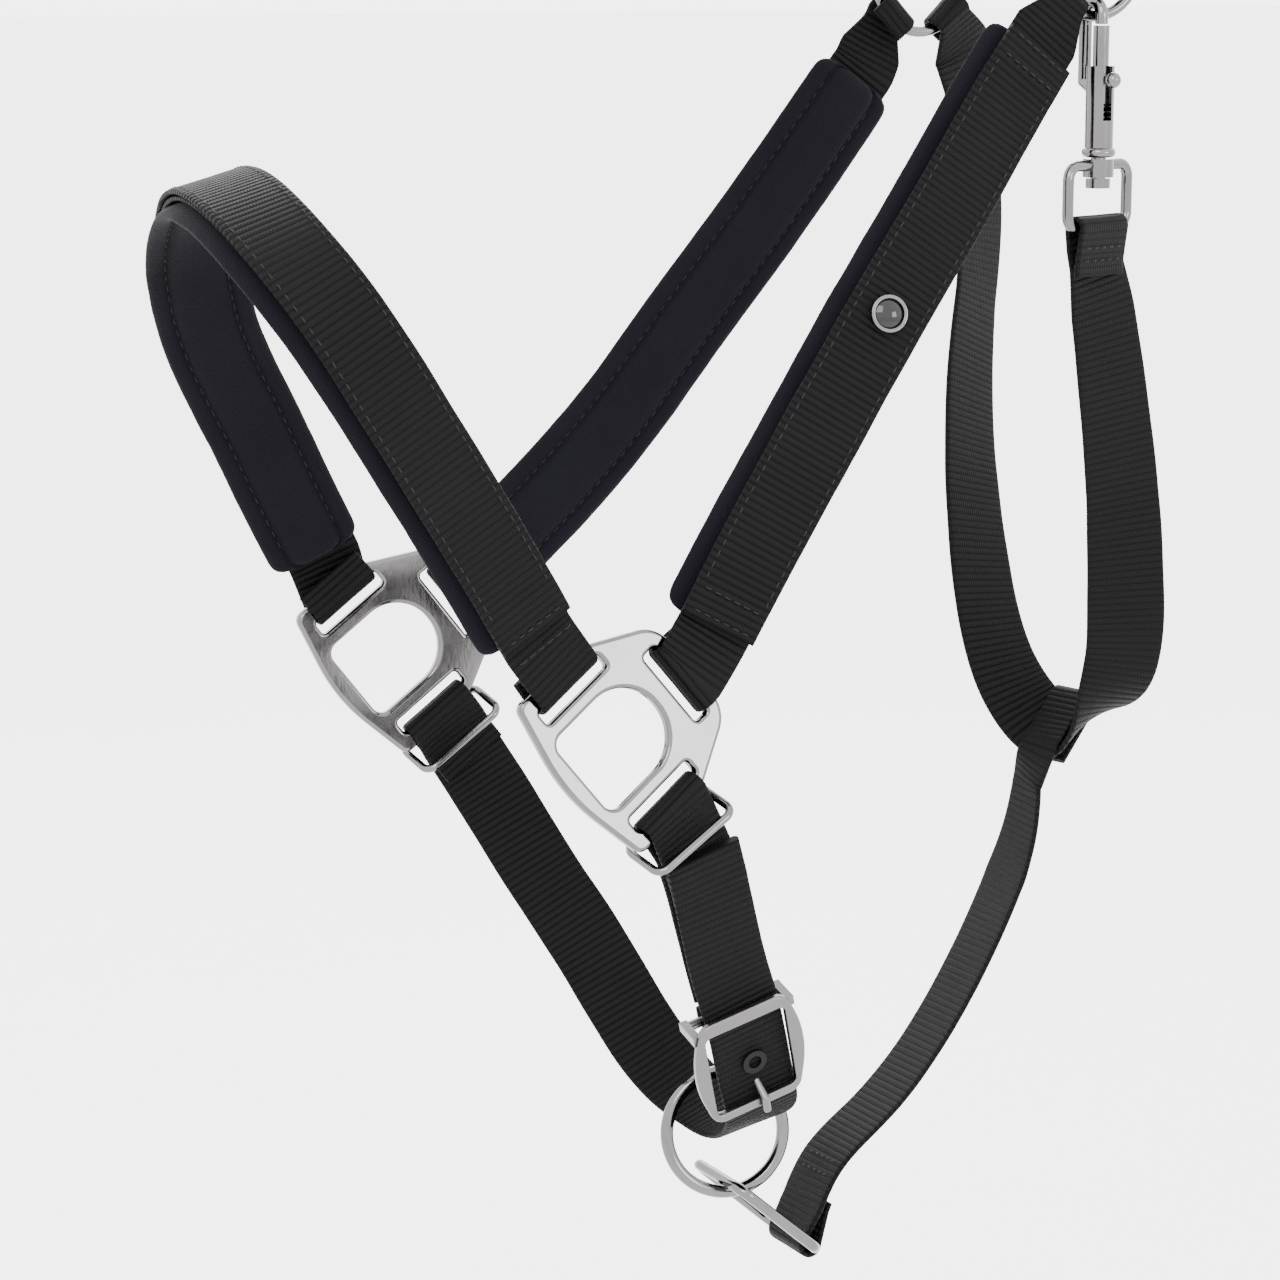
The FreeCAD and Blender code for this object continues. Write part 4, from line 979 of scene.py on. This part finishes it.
def chin(looks: Looks) -> None:
    """Chin strap with its turned and sewn tail, and the billet on the buckle's heel bar."""
    off_bar = OFF_PLATE.point(SIDE_BAR, SLOT_MIDDLE)
    start = sewn_back(off_bar, OFF_PLATE.y, OFF_PLATE.x, OFF_PLATE.z, SIDE_WRAP, 20 * MM)
    run = CHIN.frames(2 * MM, CHIN.length, step=3 * MM)
    frames = smooth_join(start[::-1] + run)
    along = lengths(frames)
    total = along[-1]
    head = lengths(start)[-1]
    widths = evened([(0, CORE), (head, CORE), (head + 8 * MM, WIDE), (total, WIDE)], along)
    hem = 13 * MM
    turned = THICK * 1.75
    folded = total - hem
    deep = evened([(0, THICK), (folded - 1.4 * MM, THICK), (folded, turned), (total, turned)], along)
    strap("chin_strap_looks", frames, widths, looks.webbing, deep)
    rows = [(row_across(frames, total - hem + 2 * MM, HALF + 0.72 * MM, 20 * MM, 3.0 * MM), 2.6 * MM),
            (row_across(frames, total - 2.5 * MM, HALF + 0.72 * MM, 20 * MM, 3.0 * MM), 2.6 * MM)]
    threads("chin_stitching", rows, looks)
    heel = CHIN_BUCKLE.point(0, 17.5, -5.7)
    bend = wrap(heel, -CHIN_BUCKLE.x, CHIN_BUCKLE.y, CHIN_BUCKLE.z, HEEL_WRAP)[::-1]
    first = [(bend[0][0] + CHIN_BUCKLE.y * 3 * MM, -CHIN_BUCKLE.x)]
    lift = HALF + GAP + 0.2 * MM
    path = first + bend + BILLET.frames(1 * MM, BILLET.length, lift, step=4 * MM)
    near_bar = NEAR_PLATE.point(SIDE_BAR, SLOT_MIDDLE)
    path += wrap(near_bar, -NEAR_PLATE.y, NEAR_PLATE.x, NEAR_PLATE.z, SIDE_WRAP)
    for i in range(12, -1, -1):
        part = i / 12
        path.append(BILLET.frame(BILLET.length * part, -lift - 3 * MM * math.sin(math.pi * part)))
    strap("chin_billet_looks", smooth_join(path), CORE, looks.webbing)


def crown(looks: Looks) -> None:
    """Crown strap, its pad and the billet below its buckle."""
    up = Vector((0, 0, 1))
    seat, radius = ring_seat(OFF_RING, up)
    start = sewn_back(seat, Vector((1, 0, 0)), up, Vector((0, 1, 0)), radius, 8 * MM)
    run = CROWN.frames(8 * MM, CROWN.length, step=4 * MM)
    frames = smooth_join(start[::-1] + run)
    along = lengths(frames)
    total = along[-1]
    head = lengths(start)[-1]
    widths = evened([(0, SLIM), (head, SLIM), (head + 12 * MM, WIDE), (total - 9 * MM, WIDE),
                     (total, 17 * MM)], along)
    strap("crown_strap_looks", frames, widths, looks.webbing)
    middle = float(min(np.arange(0, CROWN.length, 0.5 * MM), key=lambda s: abs(CROWN.at(float(s))[0].y)))
    drop = HALF + GAP + PAD_THICK / 2
    pad_start = middle - 88 * MM
    pad_end = middle + 88 * MM
    pad("crown_pad_looks", CROWN.frames(pad_start, pad_end, -drop), 34 * MM, looks.cloth, "crown_pad")
    base = CROWN.frames(pad_start, pad_end, 0)
    face = HALF + 0.06 * MM
    rows = [(row_along(base, side, face, 3 * MM, 173 * MM), STITCH) for side in (-10.3 * MM, 10.3 * MM)]
    rows += [(row_across(base, at, face, 19 * MM), STITCH) for at in (3 * MM, 173 * MM)]
    threads("crown_stitching", rows, looks)
    seat, radius = ring_seat(NEAR_RING, up)
    legs = HALF + GAP + 0.2 * MM
    x = Vector((1, 0, 0))
    low = wrap(seat, x, up, Vector((0, -1, 0)), radius)[::-1]
    high = wrap(CROWN_BUCKLE.point(0, -11.9), x, -up, Vector((0, -1, 0)), 1.6 * MM + GAP + HALF)
    leg = Vector((0, legs, 0))
    rise = [(mm(-3.2, -57.6, -138) - leg, x), (mm(-3, -59.4, -127) - leg, x)]
    fall = [(mm(-3, -59.4, -127) + leg, x), (mm(-3.2, -57.6, -137) + leg, x)]
    path = smooth_join(low + rise + high + fall)
    along = lengths(path)
    head = lengths(low)[-1]
    total = along[-1]
    widths = evened([(0, SLIM), (head, SLIM), (head + 9 * MM, CORE), (total - 4 * MM, CORE),
                     (total, 20 * MM)], along)
    strap("crown_billet_looks", path, widths, looks.webbing)


def metalwork(looks: Looks) -> None:
    """Rings, link, sliders and buckle wires."""
    ring("near_top_ring", NEAR_RING, 16.6, 1.75, looks.metal, 150)
    ring("off_top_ring", OFF_RING, 16.6, 1.75, looks.metal, 190)
    ring("lead_ring", LEAD_RING, 19.4, 2.1, looks.metal, -52)
    wire_loop("gullet_link", LINK, 35, 42, 3.6, 5.0, looks.metal, "gullet_link")
    wire_loop("near_slider", NEAR_SLIDER, 33, 18.4, 2.6, 3.4, looks.metal, "near_slider")
    wire_loop("off_slider", OFF_SLIDER, 34, 17.8, 2.6, 3.4, looks.metal, "off_slider")
    wire_loop("crown_buckle_frame", CROWN_BUCKLE, 34, 27, 3.2, 3.4, looks.metal, ROOT)


def dress_frame(looks: Looks) -> None:
    """Gives the carried-over CAD pieces their finishes."""
    groups = (
        (looks.metal, ("near_plate", "off_plate", "badge_rim", "crown_buckle_tongue", "crown_buckle_roller",
                       "snap_body", "snap_bolt", "snap_eye")),
        (looks.satin, ("chin_buckle_frame", "chin_buckle_tongue")),
        (looks.steel, ("snap_spring",)),
        (looks.gloss, ("badge_dome",)),
        (looks.lacquer, ("chin_eyelet", "crown_eyelets", "crown_keeper")),
    )
    for material, names in groups:
        for name in names:
            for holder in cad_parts[name].material_slots:
                holder.material = material


def studio() -> None:
    """Pale floor, white world and soft lights."""
    bm = bmesh.new()
    bmesh.ops.create_grid(bm, x_segments=1, y_segments=1, size=40.0)
    mesh = bpy.data.meshes.new("floor")
    bm.to_mesh(mesh)
    bm.free()
    mesh.materials.append(plain_material(PALE, 3, 0.05))
    floor = bpy.data.objects.new("floor", mesh)
    floor.location = (0, 0, -0.95)
    bpy.context.scene.collection.objects.link(floor)
    world = bpy.data.worlds.new("studio")
    bpy.context.scene.world = world
    world.use_nodes = True
    world.node_tree.nodes["Background"].inputs["Color"].default_value = (1.0, 1.0, 1.0, 1.0)
    world.node_tree.nodes["Background"].inputs["Strength"].default_value = 5.0
    lights = (
        ("key", (-1.3, -1.5, 1.1), 40, 1.1),
        ("fill", (0.9, -2.3, 0.2), 30, 0.8),
        ("back", (0.6, 1.7, 1.0), 30, 1.2),
    )
    for name, place, power, size in lights:
        lamp = bpy.data.lights.new(name, "AREA")
        lamp.energy = power
        lamp.size = size
        obj = bpy.data.objects.new(name, lamp)
        obj.location = place
        aim = Vector((-0.1, 0, -0.3)) - Vector(place)
        obj.rotation_euler = aim.to_track_quat("-Z", "Y").to_euler()
        bpy.context.scene.collection.objects.link(obj)


def set_camera() -> None:
    """Camera at the near front quarter, slightly above."""
    turn = math.radians(-28)
    tilt = math.radians(11)
    back = Vector((math.sin(turn) * math.cos(tilt), -math.cos(turn) * math.cos(tilt), math.sin(tilt)))
    right = Vector((math.cos(turn), math.sin(turn), 0))
    up = back.cross(right)
    pose = Matrix((right, up, back)).transposed().to_4x4()
    camera = bpy.data.cameras.new("camera")
    camera.lens = 100
    camera.sensor_width = 36
    camera.clip_start = 0.01
    obj = bpy.data.objects.new("camera", camera)
    obj.matrix_world = Matrix.Translation(Vector((-0.6499, -0.9726, -0.1612))) @ pose
    bpy.context.scene.collection.objects.link(obj)
    bpy.context.scene.camera = obj


def main() -> None:
    set_camera()
    looks = Looks(
        webbing=webbing_material(WEBBING),
        cloth=cloth_material(PADDING),
        thread=plain_material(THREAD, 400),
        metal=plain_material(DARK_METAL),
        satin=plain_material(SATIN_METAL),
        steel=plain_material(STEEL),
        gloss=plain_material(GLOSS),
        lacquer=plain_material(LACQUER),
    )
    noseband(looks)
    cheek("near_cheek", Side.NEAR, NEAR_CHEEK, NEAR_PLATE, NEAR_RING, looks)
    cheek("off_cheek", Side.OFF, OFF_CHEEK, OFF_PLATE, OFF_RING, looks)
    throat(looks)
    gullet(looks)
    chin(looks)
    crown(looks)
    metalwork(looks)
    dress_frame(looks)
    studio()


if __name__ == "__main__":
    main()
